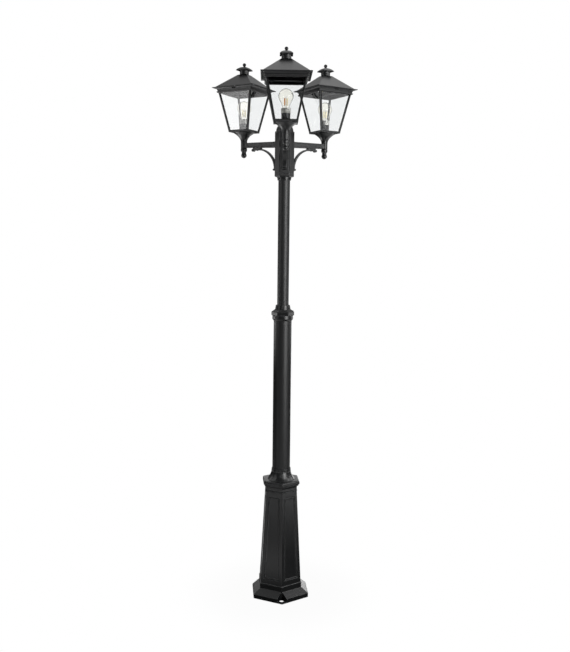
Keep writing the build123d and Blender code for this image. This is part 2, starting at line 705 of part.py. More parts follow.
arm_holes = arm_holes + level_rod(0, HUB_CORE_HALF, bolt_low_z, bolt_hole_radius)
arm_holes = arm_holes + level_rod(0, HUB_CORE_HALF, bolt_high_z, bolt_hole_radius)
hub_grub_z = HUB_Z + HUB_COLLAR_HEIGHT / 2
hub_grub_hole = level_rod(0, HUB_COLLAR_HIGH_RADIUS, hub_grub_z, GRUB_RADIUS + SCREW_CLEARANCE)
hub = hub_collar + Rot(0, 0, 30) * hub_core + around(face_plate, 3, 90.0) - Rot(0, 0, 30) * hub_room
hub = hub + Rot(0, 0, 30) * hub_bridge
hub = hub - rod(HUB_Z, SOCKET_TOP_Z, UPPER_TUBE_RADIUS + FIXED_CLEARANCE) - rod(HUB_Z, CAVITY_Z, cable_hole)
hub = hub - [Rot(0, 0, angle) * arm_holes for angle in ARM_ANGLES.values()]
hub = hub - around(hub_grub_hole, GRUB_COUNT, HUB_GRUB_TURN)
hub = hub - rod(BRIDGE_Z, HUB_TOP_Z, CAP_SCREW_RADIUS + SCREW_CLEARANCE)
hub_grub = grub_screw(0, HUB_COLLAR_HIGH_RADIUS, hub_grub_z)
hub_grub = hub_grub - rod(HUB_Z, PANEL_Z, UPPER_TUBE_RADIUS + FIXED_CLEARANCE / 2)
hub_grub_screws = around(hub_grub, GRUB_COUNT, HUB_GRUB_TURN)

# Hub cap with its spigot, and the centre screw down to the bridge
dome_z = HUB_TOP_Z + HUB_CAP_STEP
dome_top_z = dome_z + HUB_CAP_DOME
spigot_radius = room_flat - SOFT_CLEARANCE
hub_cap = turned(
    [
        (0, HUB_TOP_Z - HUB_CAP_SPIGOT),
        (spigot_radius, HUB_TOP_Z - HUB_CAP_SPIGOT),
        (spigot_radius, HUB_TOP_Z),
        (HUB_CAP_RADIUS, HUB_TOP_Z),
        (HUB_CAP_RADIUS, dome_z),
        (HUB_CAP_TOP_RADIUS, dome_top_z, -HUB_CAP_DOME / 4),
        (0, dome_top_z),
    ]
)
cap_hollow = turned(
    [
        (0, HUB_TOP_Z - HUB_CAP_SPIGOT),
        (spigot_radius - HUB_CAP_WALL, HUB_TOP_Z - HUB_CAP_SPIGOT),
        (spigot_radius - HUB_CAP_WALL, dome_z),
        (HUB_CAP_TOP_RADIUS, dome_top_z - HUB_CAP_WALL, -HUB_CAP_DOME / 6),
        (0, dome_top_z - HUB_CAP_WALL),
    ]
)
hub_cap = hub_cap - cap_hollow - rod(HUB_TOP_Z, dome_top_z, CAP_SCREW_RADIUS + SCREW_CLEARANCE)
hub_cap_screw = rod(BRIDGE_Z, dome_top_z, CAP_SCREW_RADIUS)
hub_cap_screw = hub_cap_screw + turned(
    [
        (0, dome_top_z),
        (CAP_SCREW_HEAD_RADIUS, dome_top_z),
        (CAP_SCREW_HEAD_RADIUS, dome_top_z + CAP_SCREW_HEAD / 3),
        (CAP_SCREW_HEAD_RADIUS / 2, dome_top_z + CAP_SCREW_HEAD, -CAP_SCREW_HEAD / 5),
        (0, dome_top_z + CAP_SCREW_HEAD),
    ]
)


# Arms, modelled along +X
def side_view(corners, width):
    """Upright slab across the X axis from corners in the XZ plane."""
    return extrude(outline_face(corners), width / 2, both=True)


bar = side_view(
    [
        (PLATE_FACE, arm_edge(PLATE_FACE, -1)),
        (ARM_REACH, arm_edge(ARM_REACH, -1)),
        (ARM_REACH, arm_edge(ARM_REACH, 1)),
        (PLATE_FACE, arm_edge(PLATE_FACE, 1)),
    ],
    ARM_WIDTH,
)
groove_start = PLATE_FACE + ARM_FLARE_LENGTH + ARM_GROOVE_MARGIN
groove_end = ARM_REACH - BOSS_RADIUS - ARM_GROOVE_MARGIN
groove_view = [
    (groove_start, arm_edge(groove_start, -1) + ARM_GROOVE_MARGIN),
    (groove_end, arm_edge(groove_end, -1) + ARM_GROOVE_MARGIN),
    (groove_end, arm_edge(groove_end, 1) - ARM_GROOVE_MARGIN),
    (groove_start, arm_edge(groove_start, 1) - ARM_GROOVE_MARGIN),
]
groove_both = side_view(groove_view, ARM_WIDTH) - side_view(groove_view, ARM_WIDTH - 2 * ARM_GROOVE_DEPTH)
flare_end = PLATE_FACE + ARM_FLARE_LENGTH
flare = side_view(
    [
        (PLATE_FACE, ARM_ROOT_Z - ARM_FLARE_HEIGHT / 2),
        (flare_end, arm_edge(flare_end, -1), ARM_FLARE_LENGTH / 8),
        (flare_end, arm_edge(flare_end, 1)),
        (PLATE_FACE, ARM_ROOT_Z + ARM_FLARE_HEIGHT / 2, ARM_FLARE_LENGTH / 8),
    ],
    ARM_FLARE_WIDTH,
)
boss = Pos(ARM_REACH, 0, 0) * rod(BOSS_Z, CUP_Z, BOSS_RADIUS)
chamber = rod(BOSS_Z + BOSS_END_WALL, CUP_Z - BOSS_END_WALL, BOSS_RADIUS - BOSS_WALL)
boss_bores = chamber + rod(BOSS_Z, ARM_TIP_Z, FINIAL_STUD_RADIUS + SCREW_CLEARANCE)
boss_bores = boss_bores + rod(ARM_TIP_Z, CUP_Z, NIPPLE_RADIUS + SCREW_CLEARANCE)
channel_path = Line((PLATE_FACE, 0, ARM_ROOT_Z), (ARM_REACH, 0, ARM_TIP_Z))
channel = sweep(Plane(origin=channel_path @ 0, z_dir=channel_path % 0) * Circle(ARM_CHANNEL_RADIUS), channel_path)
channel = channel + level_rod(HUB_CORE_HALF, PLATE_FACE + ARM_INLET_LENGTH, ARM_ROOT_Z, ARM_INLET_RADIUS)
bolt_shafts = level_rod(HUB_CORE_HALF, PLATE_FACE, bolt_low_z, bolt_hole_radius)
bolt_shafts = bolt_shafts + level_rod(HUB_CORE_HALF, PLATE_FACE, bolt_high_z, bolt_hole_radius)
run_end = arc_middle[0] + BRACKET_TOP_RUN
screw_top_z = arm_edge(bracket_screw_at, -1) + BRACKET_SCREW_BITE
bracket_hole = Pos(bracket_screw_at, 0, 0) * rod(strip_mid_z, screw_top_z, BRACKET_SCREW_RADIUS + SCREW_CLEARANCE)
arm = bar - groove_both + flare + face_plate + boss
arm = arm - Pos(ARM_REACH, 0, 0) * boss_bores - channel - bolt_shafts - bracket_hole

# Scroll bracket: leg pad, quarter arc, top run with its pad, and a rolled end at each end, along +X
inner_arc = BRACKET_ARC_RADIUS - BRACKET_THICKNESS / 2
outer_arc = BRACKET_ARC_RADIUS + BRACKET_THICKNESS / 2
ring_plan = Circle(outer_arc) - Circle(inner_arc)
quarter = ring_plan & Pos(-outer_arc / 2, outer_arc / 2) * Rectangle(outer_arc, outer_arc)
strip_plan = Pos(*arc_middle) * quarter
strip_plan += Pos(leg_mid, (leg_low_z + arc_middle[1]) / 2) * Rectangle(BRACKET_THICKNESS, BRACKET_LEG)
strip_plan += Pos((arc_middle[0] + run_end) / 2, strip_mid_z) * Rectangle(BRACKET_TOP_RUN, BRACKET_THICKNESS)
strip_plan += Pos(leg_mid + BRACKET_LOW_ROLL_RADIUS, leg_low_z) * Circle(BRACKET_LOW_ROLL_RADIUS)
strip_plan += Pos(run_end, strip_mid_z - BRACKET_HIGH_ROLL_RADIUS / 2) * Circle(BRACKET_HIGH_ROLL_RADIUS)
leg_pad_plan = Pos((PLATE_FACE + leg_mid) / 2, leg_low_z + BRACKET_LEG_PAD / 2)
strip_plan += leg_pad_plan * Rectangle(leg_mid - PLATE_FACE, BRACKET_LEG_PAD)
strip = extrude(Plane.XZ * strip_plan, BRACKET_WIDTH / 2, both=True)
top_pad = side_view(
    [
        (pad_start, strip_mid_z),
        (pad_end, strip_mid_z),
        (pad_end, arm_edge(pad_end, -1)),
        (pad_start, arm_edge(pad_start, -1)),
    ],
    ARM_WIDTH,
)
bracket_bolt_hole = level_rod(PLATE_FACE, PLATE_FACE + BRACKET_PAD + HUB_BOLT_BITE, bolt_low_z, bolt_hole_radius)
strip_under_z = strip_mid_z - BRACKET_THICKNESS / 2
under_hole = rod(strip_under_z, screw_top_z, BRACKET_SCREW_RADIUS + SCREW_CLEARANCE)
bracket = strip + top_pad - bracket_bolt_hole - Pos(bracket_screw_at, 0, 0) * under_hole

# Fasteners of the arms and brackets
bolt_low = level_rod(room_flat, PLATE_FACE + BRACKET_PAD + HUB_BOLT_BITE, bolt_low_z, HUB_BOLT_RADIUS)
bolt_low = bolt_low + level_rod(room_flat - HUB_BOLT_HEAD, room_flat, bolt_low_z, HUB_BOLT_HEAD_RADIUS)
bolt_high = level_rod(room_flat, PLATE_FACE, bolt_high_z, HUB_BOLT_RADIUS)
bolt_high = bolt_high + level_rod(room_flat - HUB_BOLT_HEAD, room_flat, bolt_high_z, HUB_BOLT_HEAD_RADIUS)
bracket_screw = rod(strip_under_z, screw_top_z, BRACKET_SCREW_RADIUS)
bracket_screw = bracket_screw + turned(
    [
        (0, strip_under_z - BRACKET_SCREW_HEAD),
        (BRACKET_SCREW_HEAD_RADIUS, strip_under_z, -BRACKET_SCREW_HEAD / 4),
        (0, strip_under_z),
    ]
)
bracket_screw = Pos(bracket_screw_at, 0, 0) * bracket_screw

# Turned finial, its stud in the arm boss
bulge_z = BOSS_Z - FINIAL_BULGE_HEIGHT
neck_z = bulge_z - FINIAL_NECK_HEIGHT
ball_middle = neck_z - (FINIAL_BALL_RADIUS**2 - FINIAL_NECK_RADIUS**2) ** 0.5
finial = turned(
    [
        (0, ball_middle),
        (FINIAL_NECK_RADIUS, neck_z),
        (FINIAL_NECK_RADIUS, bulge_z),
        (FINIAL_TOP_RADIUS, bulge_z),
        (FINIAL_TOP_RADIUS, BOSS_Z, -(FINIAL_BULGE_RADIUS - FINIAL_TOP_RADIUS)),
        (FINIAL_STUD_RADIUS, BOSS_Z),
        (FINIAL_STUD_RADIUS, BOSS_Z + BOSS_END_WALL),
        (0, BOSS_Z + BOSS_END_WALL),
    ]
)
finial = finial + Pos(0, 0, ball_middle) * Sphere(FINIAL_BALL_RADIUS)

# Bell cup and the nipple that joins boss, cup, tray and lampholder
cup_waist_z = CUP_Z + CUP_WAIST_HEIGHT
cup_rim_z = TRAY_Z - CUP_RIM_EDGE
cup = turned(
    [
        (0, CUP_Z),
        (CUP_FOOT_RADIUS, CUP_Z),
        (CUP_WAIST_RADIUS, cup_waist_z, CUP_WALL / 2),
        (CUP_RIM_RADIUS, cup_rim_z, CUP_WALL / 2),
        (CUP_RIM_RADIUS, TRAY_Z),
        (0, TRAY_Z),
    ]
)
cup_hollow = turned(
    [
        (0, CUP_Z + CUP_FLOOR),
        (CUP_FOOT_RADIUS - CUP_WALL, CUP_Z + CUP_FLOOR),
        (CUP_WAIST_RADIUS - 2 * CUP_WALL, cup_waist_z),
        (CUP_RIM_RADIUS - 5 * CUP_WALL, TRAY_Z),
        (0, TRAY_Z),
    ]
)
nipple_hole_radius = NIPPLE_RADIUS + SCREW_CLEARANCE
cup = cup - cup_hollow - rod(CUP_Z, TRAY_Z, nipple_hole_radius)
nipple_low_z = CUP_Z - NIPPLE_BITE
nipple_top_z = LIGHT_Z + NIPPLE_IN_HOLDER
nipple = tube(nipple_low_z, nipple_top_z, NIPPLE_RADIUS, NIPPLE_BORE_RADIUS)

# Lantern frame: tray, corner bars, rails and moulded cornice, with a groove for each pane
tray_half = TRAY_SIDE / 2
top_half = FRAME_TOP_SIDE / 2
cornice_half = top_half + CORNICE_REACH
inner_low_half = tray_half - FRAME_DEPTH
inner_high_half = top_half - FRAME_DEPTH
frame_outer = faceted(
    [
        (0, TRAY_Z),
        (tray_half, TRAY_Z),
        (tray_half, LIGHT_Z),
        (top_half, CORNICE_Z),
        (top_half + CORNICE_BEAD / 3, CORNICE_Z),
        (top_half + CORNICE_BEAD, CORNICE_Z + CORNICE_BEAD, -CORNICE_BEAD / 4),
        (top_half + CORNICE_BEAD / 2, CORNICE_Z + CORNICE_BEAD),
        (cornice_half, EAVE_Z, (CORNICE_HEIGHT - CORNICE_BEAD) / 6),
        (0, EAVE_Z),
    ],
    4,
)
frame_room = faceted(
    [
        (0, LIGHT_Z),
        (inner_low_half, LIGHT_Z),
        (inner_high_half, CORNICE_Z),
        (inner_high_half, EAVE_Z),
        (0, EAVE_Z),
    ],
    4,
)
lean = top_half - tray_half
slant = hypot(lean, LIGHT_HEIGHT)
pane_plane = Plane(
    origin=(tray_half, 0, LIGHT_Z), x_dir=(0, 1, 0), z_dir=(LIGHT_HEIGHT / slant, 0, -lean / slant)
)


def light_shape(low, high, edge):
    """Trapezoid on the slanted side between two distances up the slope, an edge in from the corners."""
    low_half = tray_half + lean * low / slant - edge
    high_half = tray_half + lean * high / slant - edge
    return make_face(Polyline((-low_half, low), (low_half, low), (high_half, high), (-high_half, high), close=True))


window = extrude(pane_plane * light_shape(LOW_RAIL, slant - HIGH_RAIL, BAR_WIDTH), 2 * FRAME_DEPTH, both=True)
pane_edge = BAR_WIDTH - PANE_LAP
pane_low = LOW_RAIL - PANE_LAP
pane_face = pane_plane.offset(-PANE_SETBACK)
pane = extrude(pane_face * light_shape(pane_low, slant + PANE_RISE, pane_edge), -PANE_THICKNESS)
slot_face = pane_plane.offset(FIXED_CLEARANCE - PANE_SETBACK)
slot_shape = light_shape(pane_low - FIXED_CLEARANCE, slant + 2 * CORNICE_HEIGHT, pane_edge - FIXED_CLEARANCE)
slot = extrude(slot_face * slot_shape, -PANE_THICKNESS - 2 * FIXED_CLEARANCE)
slot_limit = block((-cornice_half, -cornice_half, TRAY_Z), (cornice_half, cornice_half, EAVE_Z))
slot = slot & slot_limit
strap_screw_z = CORNICE_Z + STRAP_SCREW_RISE
screw_seat = cornice_half - STRAP_SCREW_SINK - STRAP_SCREW_HEAD
strap_screw_holes = []
for side in (-STRAP_SCREW_SPACING / 2, STRAP_SCREW_SPACING / 2):
    shaft = cross_rod(0, cornice_half, strap_screw_z, STRAP_SCREW_RADIUS + SCREW_CLEARANCE, side)
    sink = cross_rod(screw_seat, cornice_half, strap_screw_z, STRAP_SCREW_HEAD_RADIUS + FIXED_CLEARANCE, side)
    strap_screw_holes += around(shaft + sink, 2)
frame = frame_outer - frame_room - around(window, 4) - around(slot, 4) - strap_screw_holes
frame = frame - rod(TRAY_Z, LIGHT_Z, nipple_hole_radius)
panes = around(pane, 4)

# Bridge strap with upturned tabs, nut and stud
strap_reach = inner_high_half - FIXED_CLEARANCE
stud_top_z = HAT_TOP_Z + STUD_IN_BALL
strap = block(
    (-STRAP_WIDTH / 2, -strap_reach, CORNICE_Z), (STRAP_WIDTH / 2, strap_reach, CORNICE_Z + STRAP_THICKNESS)
)
tab = block(
    (-TAB_WIDTH / 2, strap_reach - STRAP_THICKNESS, CORNICE_Z), (TAB_WIDTH / 2, strap_reach, CORNICE_Z + TAB_HEIGHT)
)
nut_z = CORNICE_Z + STRAP_THICKNESS
bridge = strap + around(tab, 2) + rod(nut_z, nut_z + STUD_NUT_HEIGHT, STUD_NUT_RADIUS)
bridge = bridge + rod(CORNICE_Z, stud_top_z, STUD_RADIUS)
for side in (-STRAP_SCREW_SPACING / 2, STRAP_SCREW_SPACING / 2):
    thread = cross_rod(0, strap_reach, strap_screw_z, STRAP_SCREW_RADIUS + SCREW_CLEARANCE, side)
    bridge = bridge - around(thread, 2)
strap_screws = []
for side in (-STRAP_SCREW_SPACING / 2, STRAP_SCREW_SPACING / 2):
    screw = cross_rod(strap_reach - STRAP_THICKNESS, screw_seat, strap_screw_z, STRAP_SCREW_RADIUS, side)
    head_end = screw_seat + STRAP_SCREW_HEAD
    screw = screw + cross_rod(screw_seat, head_end, strap_screw_z, STRAP_SCREW_HEAD_RADIUS, side)
    slot = Box(2 * STRAP_SCREW_HEAD_RADIUS, STRAP_SCREW_HEAD, STRAP_SCREW_SLOT)
    screw = screw - Pos(side, head_end, strap_screw_z) * slot
    strap_screws += around(screw, 2)

# Lampholder body and ring
holder_top_z = LIGHT_Z + HOLDER_HEIGHT
lampholder = rod(LIGHT_Z, holder_top_z, HOLDER_RADIUS)
lampholder = lampholder + rod(LIGHT_Z, LIGHT_Z + HOLDER_FOOT_HEIGHT, HOLDER_FOOT_RADIUS)
lampholder = lampholder - rod(BULB_SEAT_Z, holder_top_z, HOLDER_BORE_RADIUS)
lampholder = lampholder - rod(LIGHT_Z, nipple_top_z, nipple_hole_radius)
holder_ring = tube(holder_top_z, RING_TOP_Z, HOLDER_RING_RADIUS, HOLDER_RING_BORE_RADIUS)

# Bulb: glass, screw cap, and the stem with its filament
bulb_top_z = RING_TOP_Z + BULB_HEIGHT
globe_z = bulb_top_z - BULB_RADIUS
cap_low_z = BULB_SEAT_Z + BULB_CONTACT_HEIGHT
cap_high_z = cap_low_z + BULB_CAP_HEIGHT
glass_low_z = cap_high_z - BULB_CAP_HEIGHT / 2


def globe_edge(radius):
    """Where the round of the globe meets its neck, and the bow of the round up to the top."""
    return radius * BULB_SHOULDER_ANGLE_COS, globe_z - radius / 2, radius / 2


outer_edge = globe_edge(BULB_RADIUS)
inner_edge = globe_edge(BULB_RADIUS - BULB_GLASS)
neck_bow = BULB_RADIUS / 15
bulb = turned(
    [
        (BULB_NECK_RADIUS - BULB_GLASS, glass_low_z),
        (BULB_NECK_RADIUS, glass_low_z),
        (BULB_NECK_RADIUS, cap_high_z),
        (outer_edge[0], outer_edge[1], neck_bow),
        (0, bulb_top_z, -outer_edge[2]),
        (0, bulb_top_z - BULB_GLASS),
        (inner_edge[0], inner_edge[1], inner_edge[2]),
        (BULB_NECK_RADIUS - BULB_GLASS, cap_high_z, -neck_bow),
    ]
)
cap_outline = [(0, BULB_SEAT_Z), (BULB_CONTACT_RADIUS, BULB_SEAT_Z), (BULB_CONTACT_RADIUS, cap_low_z)]
rib_pitch = (BULB_CAP_HEIGHT - BULB_CAP_RIB) / BULB_CAP_RIBS
cap_root = BULB_CAP_RADIUS - BULB_CAP_RIB / 4
cap_outline.append((cap_root, cap_low_z))
for rib in range(BULB_CAP_RIBS):
    rib_z = cap_low_z + (rib + 1) * rib_pitch
    cap_outline.append((cap_root, rib_z, -BULB_CAP_RIB / 4))
cap_outline += [(cap_root, cap_high_z), (0, cap_high_z)]
cap_room = rod(cap_low_z + BULB_CAP_WALL, cap_high_z, BULB_NECK_RADIUS + FIXED_CLEARANCE)
bulb_cap = turned(cap_outline) - cap_room
stem_low_z = cap_low_z + BULB_CAP_WALL
stem_top_z = cap_high_z + STEM_HEIGHT - BULB_CAP_HEIGHT / 2
wire_top_z = stem_top_z + FILAMENT_HEIGHT + FILAMENT_WIRE_OFFSET
stem = turned(
    [
        (0, stem_low_z),
        (STEM_RADIUS, stem_low_z),
        (STEM_RADIUS, cap_high_z),
        (STEM_TIP_RADIUS, stem_top_z, STEM_TIP_RADIUS / 3),
        (0, stem_top_z),
    ]
)
filament = stem + Pos(-FILAMENT_WIRE_OFFSET / 2, 0, 0) * rod(
    stem_top_z, stem_top_z + FILAMENT_HEIGHT, FILAMENT_RADIUS
)
filament = filament + Pos(FILAMENT_WIRE_OFFSET, 0, 0) * rod(stem_top_z, wire_top_z, FILAMENT_WIRE_RADIUS)
filament = filament + level_rod(
    -FILAMENT_WIRE_OFFSET / 2, FILAMENT_WIRE_OFFSET, wire_top_z - FILAMENT_WIRE_RADIUS, FILAMENT_WIRE_RADIUS
)
filament = filament + Pos(-FILAMENT_WIRE_OFFSET / 2, 0, 0) * rod(
    stem_top_z + FILAMENT_HEIGHT, wire_top_z, FILAMENT_WIRE_RADIUS
)

# Roof with eave lip, locating skirt and chimney
eave_half = EAVE_SIDE / 2
slope_half = eave_half - EAVE_LIP
slope_low_z = SLOPE_Z + ROOF_SPRING
roof_top_half = ROOF_TOP_SIDE / 2
pitch = (CHIMNEY_Z - slope_low_z) / (slope_half - roof_top_half)
wall_across = ROOF_WALL * hypot(pitch, 1) / pitch
room_low_half = slope_half - wall_across
room_top_z = CHIMNEY_Z - ROOF_WALL
room_top_half = room_low_half - (room_top_z - slope_low_z) / pitch
roof_outer = faceted(
    [
        (0, EAVE_Z),
        (eave_half, EAVE_Z),
        (eave_half, SLOPE_Z),
        (slope_half, slope_low_z),
        (roof_top_half, CHIMNEY_Z),
        (0, CHIMNEY_Z),
    ],
    4,
)
roof_room = faceted(
    [
        (0, EAVE_Z),
        (room_low_half, EAVE_Z),
        (room_low_half, slope_low_z),
        (room_top_half, room_top_z),
        (0, room_top_z),
    ],
    4,
)
skirt_half = inner_high_half - LOOSE_CLEARANCE
skirt_low_z = EAVE_Z - ROOF_SKIRT
skirt_top_z = slope_low_z + (slope_half - skirt_half) * pitch - ROOF_WALL / 2
skirt_room_half = skirt_half - ROOF_SKIRT_WALL
skirt = block((-skirt_half, -skirt_half, skirt_low_z), (skirt_half, skirt_half, skirt_top_z))
skirt = skirt - block(
    (-skirt_room_half, -skirt_room_half, skirt_low_z), (skirt_room_half, skirt_room_half, skirt_top_z)
)
notch_half = TAB_WIDTH / 2 + 2 * LOOSE_CLEARANCE
skirt = skirt - block((-notch_half, -skirt_half, skirt_low_z), (notch_half, skirt_half, EAVE_Z + LOOSE_CLEARANCE))
roof = roof_outer - roof_room + skirt + rod(room_top_z, HAT_Z, CHIMNEY_RADIUS)
roof = roof - rod(room_top_z, HAT_Z, CHIMNEY_RADIUS - CHIMNEY_WALL)

# Square hat on the chimney, domed above and recessed round the chimney below
hat_half = HAT_SIDE / 2
hat = faceted(
    [
        (0, HAT_Z),
        (hat_half, HAT_Z),
        (hat_half, HAT_Z + HAT_EDGE),
        (HAT_TOP_SIDE / 2, HAT_TOP_Z, -HAT_DOME),
        (0, HAT_TOP_Z),
    ],
    4,
)
recess_half = hat_half - HAT_RIM
hat_recess = block((-recess_half, -recess_half, HAT_Z), (recess_half, recess_half, HAT_Z + HAT_RECESS))
hat_recess = hat_recess - rod(HAT_Z, HAT_Z + HAT_RECESS, CHIMNEY_RADIUS)
hat = hat - hat_recess - rod(HAT_Z, HAT_TOP_Z, STUD_RADIUS + LOOSE_CLEARANCE)

# Ball finial, bored for the stud
ball = rod(HAT_TOP_Z, BALL_Z, BALL_NECK_RADIUS) + Pos(0, 0, BALL_Z) * Sphere(BALL_RADIUS)
ball = ball - rod(HAT_TOP_Z, stud_top_z + SOFT_CLEARANCE, STUD_RADIUS + RUNNING_CLEARANCE)

# Wiring: gear tray and terminal block in the pedestal, mast cable, connector in the hub, lead in each arm
tray_low_z = BASE_PLATE_Z - GEAR_TRAY_DROP
tray_back = GEAR_TRAY_OFFSET + TRAY_PLATE
tray_half_width = GEAR_TRAY_WIDTH / 2
tray_front = LOWER_TUBE_RADIUS + LOOSE_CLEARANCE
gear_tray = block((GEAR_TRAY_OFFSET, -tray_half_width, tray_low_z), (tray_back, tray_half_width, BASE_PLATE_Z))
gear_tray = gear_tray + block(
    (tray_front, -tray_half_width, BASE_PLATE_Z - TRAY_PLATE), (tray_back, tray_half_width, BASE_PLATE_Z)
)
tray_hole = Pos(FLANGE_SCREW_CIRCLE, 0, 0) * rod(
    BASE_PLATE_Z - TRAY_PLATE, BASE_PLATE_Z, FLANGE_SCREW_RADIUS + SCREW_CLEARANCE
)
gear_tray = gear_tray - [Rot(0, 0, turn) * tray_hole for turn in (-FLANGE_SCREW_TURN, FLANGE_SCREW_TURN)]
gear_tray = Rot(0, 0, BASE_TURN) * gear_tray
terminal_top_z = tray_low_z + 2 * TERMINAL_HEIGHT
terminal_front = GEAR_TRAY_OFFSET - TERMINAL_DEPTH
terminal_block = block(
    (terminal_front, -TERMINAL_WIDTH / 2, tray_low_z + TERMINAL_HEIGHT),
    (GEAR_TRAY_OFFSET, TERMINAL_WIDTH / 2, terminal_top_z),
)
pole_pitch = TERMINAL_WIDTH / TERMINAL_POLES
for pole in range(TERMINAL_POLES):
    across = (pole + 0.5) * pole_pitch - TERMINAL_WIDTH / 2
    screw_well = level_rod(
        terminal_front,
        terminal_front + TERMINAL_SCREW_DEPTH,
        terminal_top_z - TERMINAL_HEIGHT / 2,
        TERMINAL_SCREW_RADIUS,
        across,
    )
    terminal_block = terminal_block - screw_well
terminal_block = Rot(0, 0, BASE_TURN) * terminal_block
cable_x = GEAR_TRAY_OFFSET - TERMINAL_DEPTH / 2
mast_cable = cable(
    [
        (cable_x, 0, terminal_top_z),
        (cable_x, 0, terminal_top_z + MAST_CABLE_LEAD),
        (0, 0, terminal_top_z + MAST_CABLE_LEAD + MAST_CABLE_SWING),
        (0, 0, CONNECTOR_Z),
    ],
    MAST_CABLE_BEND,
    MAST_CABLE_RADIUS,
)
mast_cable = Rot(0, 0, BASE_TURN) * mast_cable
hub_connector = rod(CONNECTOR_Z, BRIDGE_Z, CONNECTOR_RADIUS)
arm_lead = cable(
    [
        (CONNECTOR_RADIUS, 0, ARM_ROOT_Z),
        (PLATE_FACE, 0, ARM_ROOT_Z),
        (ARM_REACH, 0, ARM_TIP_Z),
        (ARM_REACH, 0, nipple_top_z),
    ],
    ARM_LEAD_BEND,
    ARM_LEAD_RADIUS,
)

# Write every node
os.makedirs("parts", exist_ok=True)
save("base_casting", base_casting)
save("lower_tube", lower_tube)
save("flange_screws", flange_screws)
save("base_cap", base_cap)
save("mast_collar", mast_collar)
save("post_grub_screws", post_grub_screws)
save("gear_tray", gear_tray)
save("terminal_block", terminal_block)
save("mast_cable", mast_cable)
save("upper_tube", upper_tube)
save("hub", hub)
save("hub_grub_screws", hub_grub_screws)
save("hub_cap", hub_cap)
save("hub_cap_screw", hub_cap_screw)
save("hub_connector", hub_connector)
angles = list(ARM_ANGLES.values())
save("hub_bolts", [Rot(0, 0, angle) * bolt for angle in angles for bolt in (bolt_low, bolt_high)])
save("bracket_screws", [Rot(0, 0, angle) * bracket_screw for angle in angles])
save("arm_leads", [Rot(0, 0, angle) * arm_lead for angle in angles])
save("arm_finials", [at_lantern(finial, angle) for angle in angles])
save("lantern_nipples", [at_lantern(nipple, angle) for angle in angles])
save("strap_screws", [at_lantern(screw, angle) for angle in angles for screw in strap_screws])
save("lampholders", [at_lantern(lampholder, angle) for angle in angles])
save("holder_rings", [at_lantern(holder_ring, angle) for angle in angles])
for name, angle in ARM_ANGLES.items():
    save(f"arm_{name}", Rot(0, 0, angle) * arm)
    save(f"bracket_{name}", Rot(0, 0, angle) * bracket)
    save(f"cup_{name}", at_lantern(cup, angle))
    save(f"lantern_frame_{name}", at_lantern(frame, angle))
    save(f"panes_{name}", [at_lantern(glass, angle) for glass in panes])
    save(f"bridge_{name}", at_lantern(bridge, angle))
    save(f"bulb_{name}", at_lantern(bulb, angle))
    save(f"bulb_cap_{name}", at_lantern(bulb_cap, angle))
    save(f"filament_{name}", at_lantern(filament, angle))
    save(f"roof_{name}", at_lantern(roof, angle))
    save(f"hat_{name}", at_lantern(hat, angle))
    save(f"ball_finial_{name}", at_lantern(ball, angle))
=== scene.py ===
import math

import bmesh
import bpy
from mathutils import Matrix, Vector


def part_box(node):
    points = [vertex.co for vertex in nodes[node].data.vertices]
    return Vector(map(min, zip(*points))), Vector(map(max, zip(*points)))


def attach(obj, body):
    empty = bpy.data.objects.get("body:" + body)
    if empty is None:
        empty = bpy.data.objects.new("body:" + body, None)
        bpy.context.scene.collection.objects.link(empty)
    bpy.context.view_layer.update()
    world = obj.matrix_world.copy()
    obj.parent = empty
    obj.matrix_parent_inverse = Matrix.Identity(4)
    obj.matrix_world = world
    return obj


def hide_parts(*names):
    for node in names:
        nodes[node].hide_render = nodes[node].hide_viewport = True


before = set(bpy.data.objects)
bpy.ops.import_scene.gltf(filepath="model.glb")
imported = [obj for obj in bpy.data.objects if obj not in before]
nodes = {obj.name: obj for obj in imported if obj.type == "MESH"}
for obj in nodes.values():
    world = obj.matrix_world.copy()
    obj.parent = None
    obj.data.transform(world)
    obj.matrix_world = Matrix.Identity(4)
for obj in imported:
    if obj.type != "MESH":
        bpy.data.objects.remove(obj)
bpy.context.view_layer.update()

# Foot, pedestal and cap: gravity-cast aluminium, fettled, then powder coated in satin black.
# The coat flows a little over the casting, so edges are soft, faces ripple slightly and the gloss is uneven.
MM = 0.001
CAST_EDGE_MM = 0.9
EDGE_SEGMENTS = 2
CORNER_DEGREES = 30.0
SAME_PLANE_DEGREES = 1.0
WELD_MM = 0.01
COAT_BLACK = "#0d0e0f"
COAT_FADED = "#131415"
# Pale edge colour: partly rubbed wear, partly a painted highlight that lifts thin edges and mouldings.
COAT_WORN_AND_HIGHLIT = "#4a4b4c"
COAT_IOR = 1.5
COAT_CLOUD_MM = 90.0
COAT_GLOSS_SPREAD = 0.05
ORANGE_PEEL_MM = 1.6
ORANGE_PEEL_DEPTH_MM = 0.02
# Where the painted pale edge starts and where it is full, as cosines of the turn from the face.
PALE_EDGE_STARTS_COSINE = 0.995
PALE_EDGE_FULL_COSINE = 0.85
EDGE_RAYS = 8


def linear(hex_colour):
    """An sRGB hex colour as linear red, green, blue and alpha."""
    channels = [int(hex_colour[i:i + 2], 16) / 255 for i in (1, 3, 5)]
    curve = [c / 12.92 if c <= 0.04045 else ((c + 0.055) / 1.055) ** 2.4 for c in channels]
    return (*curve, 1.0)


def add(tree, kind, links=None, **settings):
    """Add a node, set its properties and default inputs, and link inputs to other nodes' outputs."""
    node = tree.nodes.new(kind)
    for name, value in settings.items():
        if hasattr(node, name):
            setattr(node, name, value)
        else:
            node.inputs[name.replace("_", " ")].default_value = value
    for socket, output in (links or {}).items():
        tree.links.new(output, node.inputs[socket])
    return node


def waves_per_metre(size_mm):
    """Noise scale that gives features of that real size on Object coordinates in metres."""
    return 1.0 / (size_mm * MM)


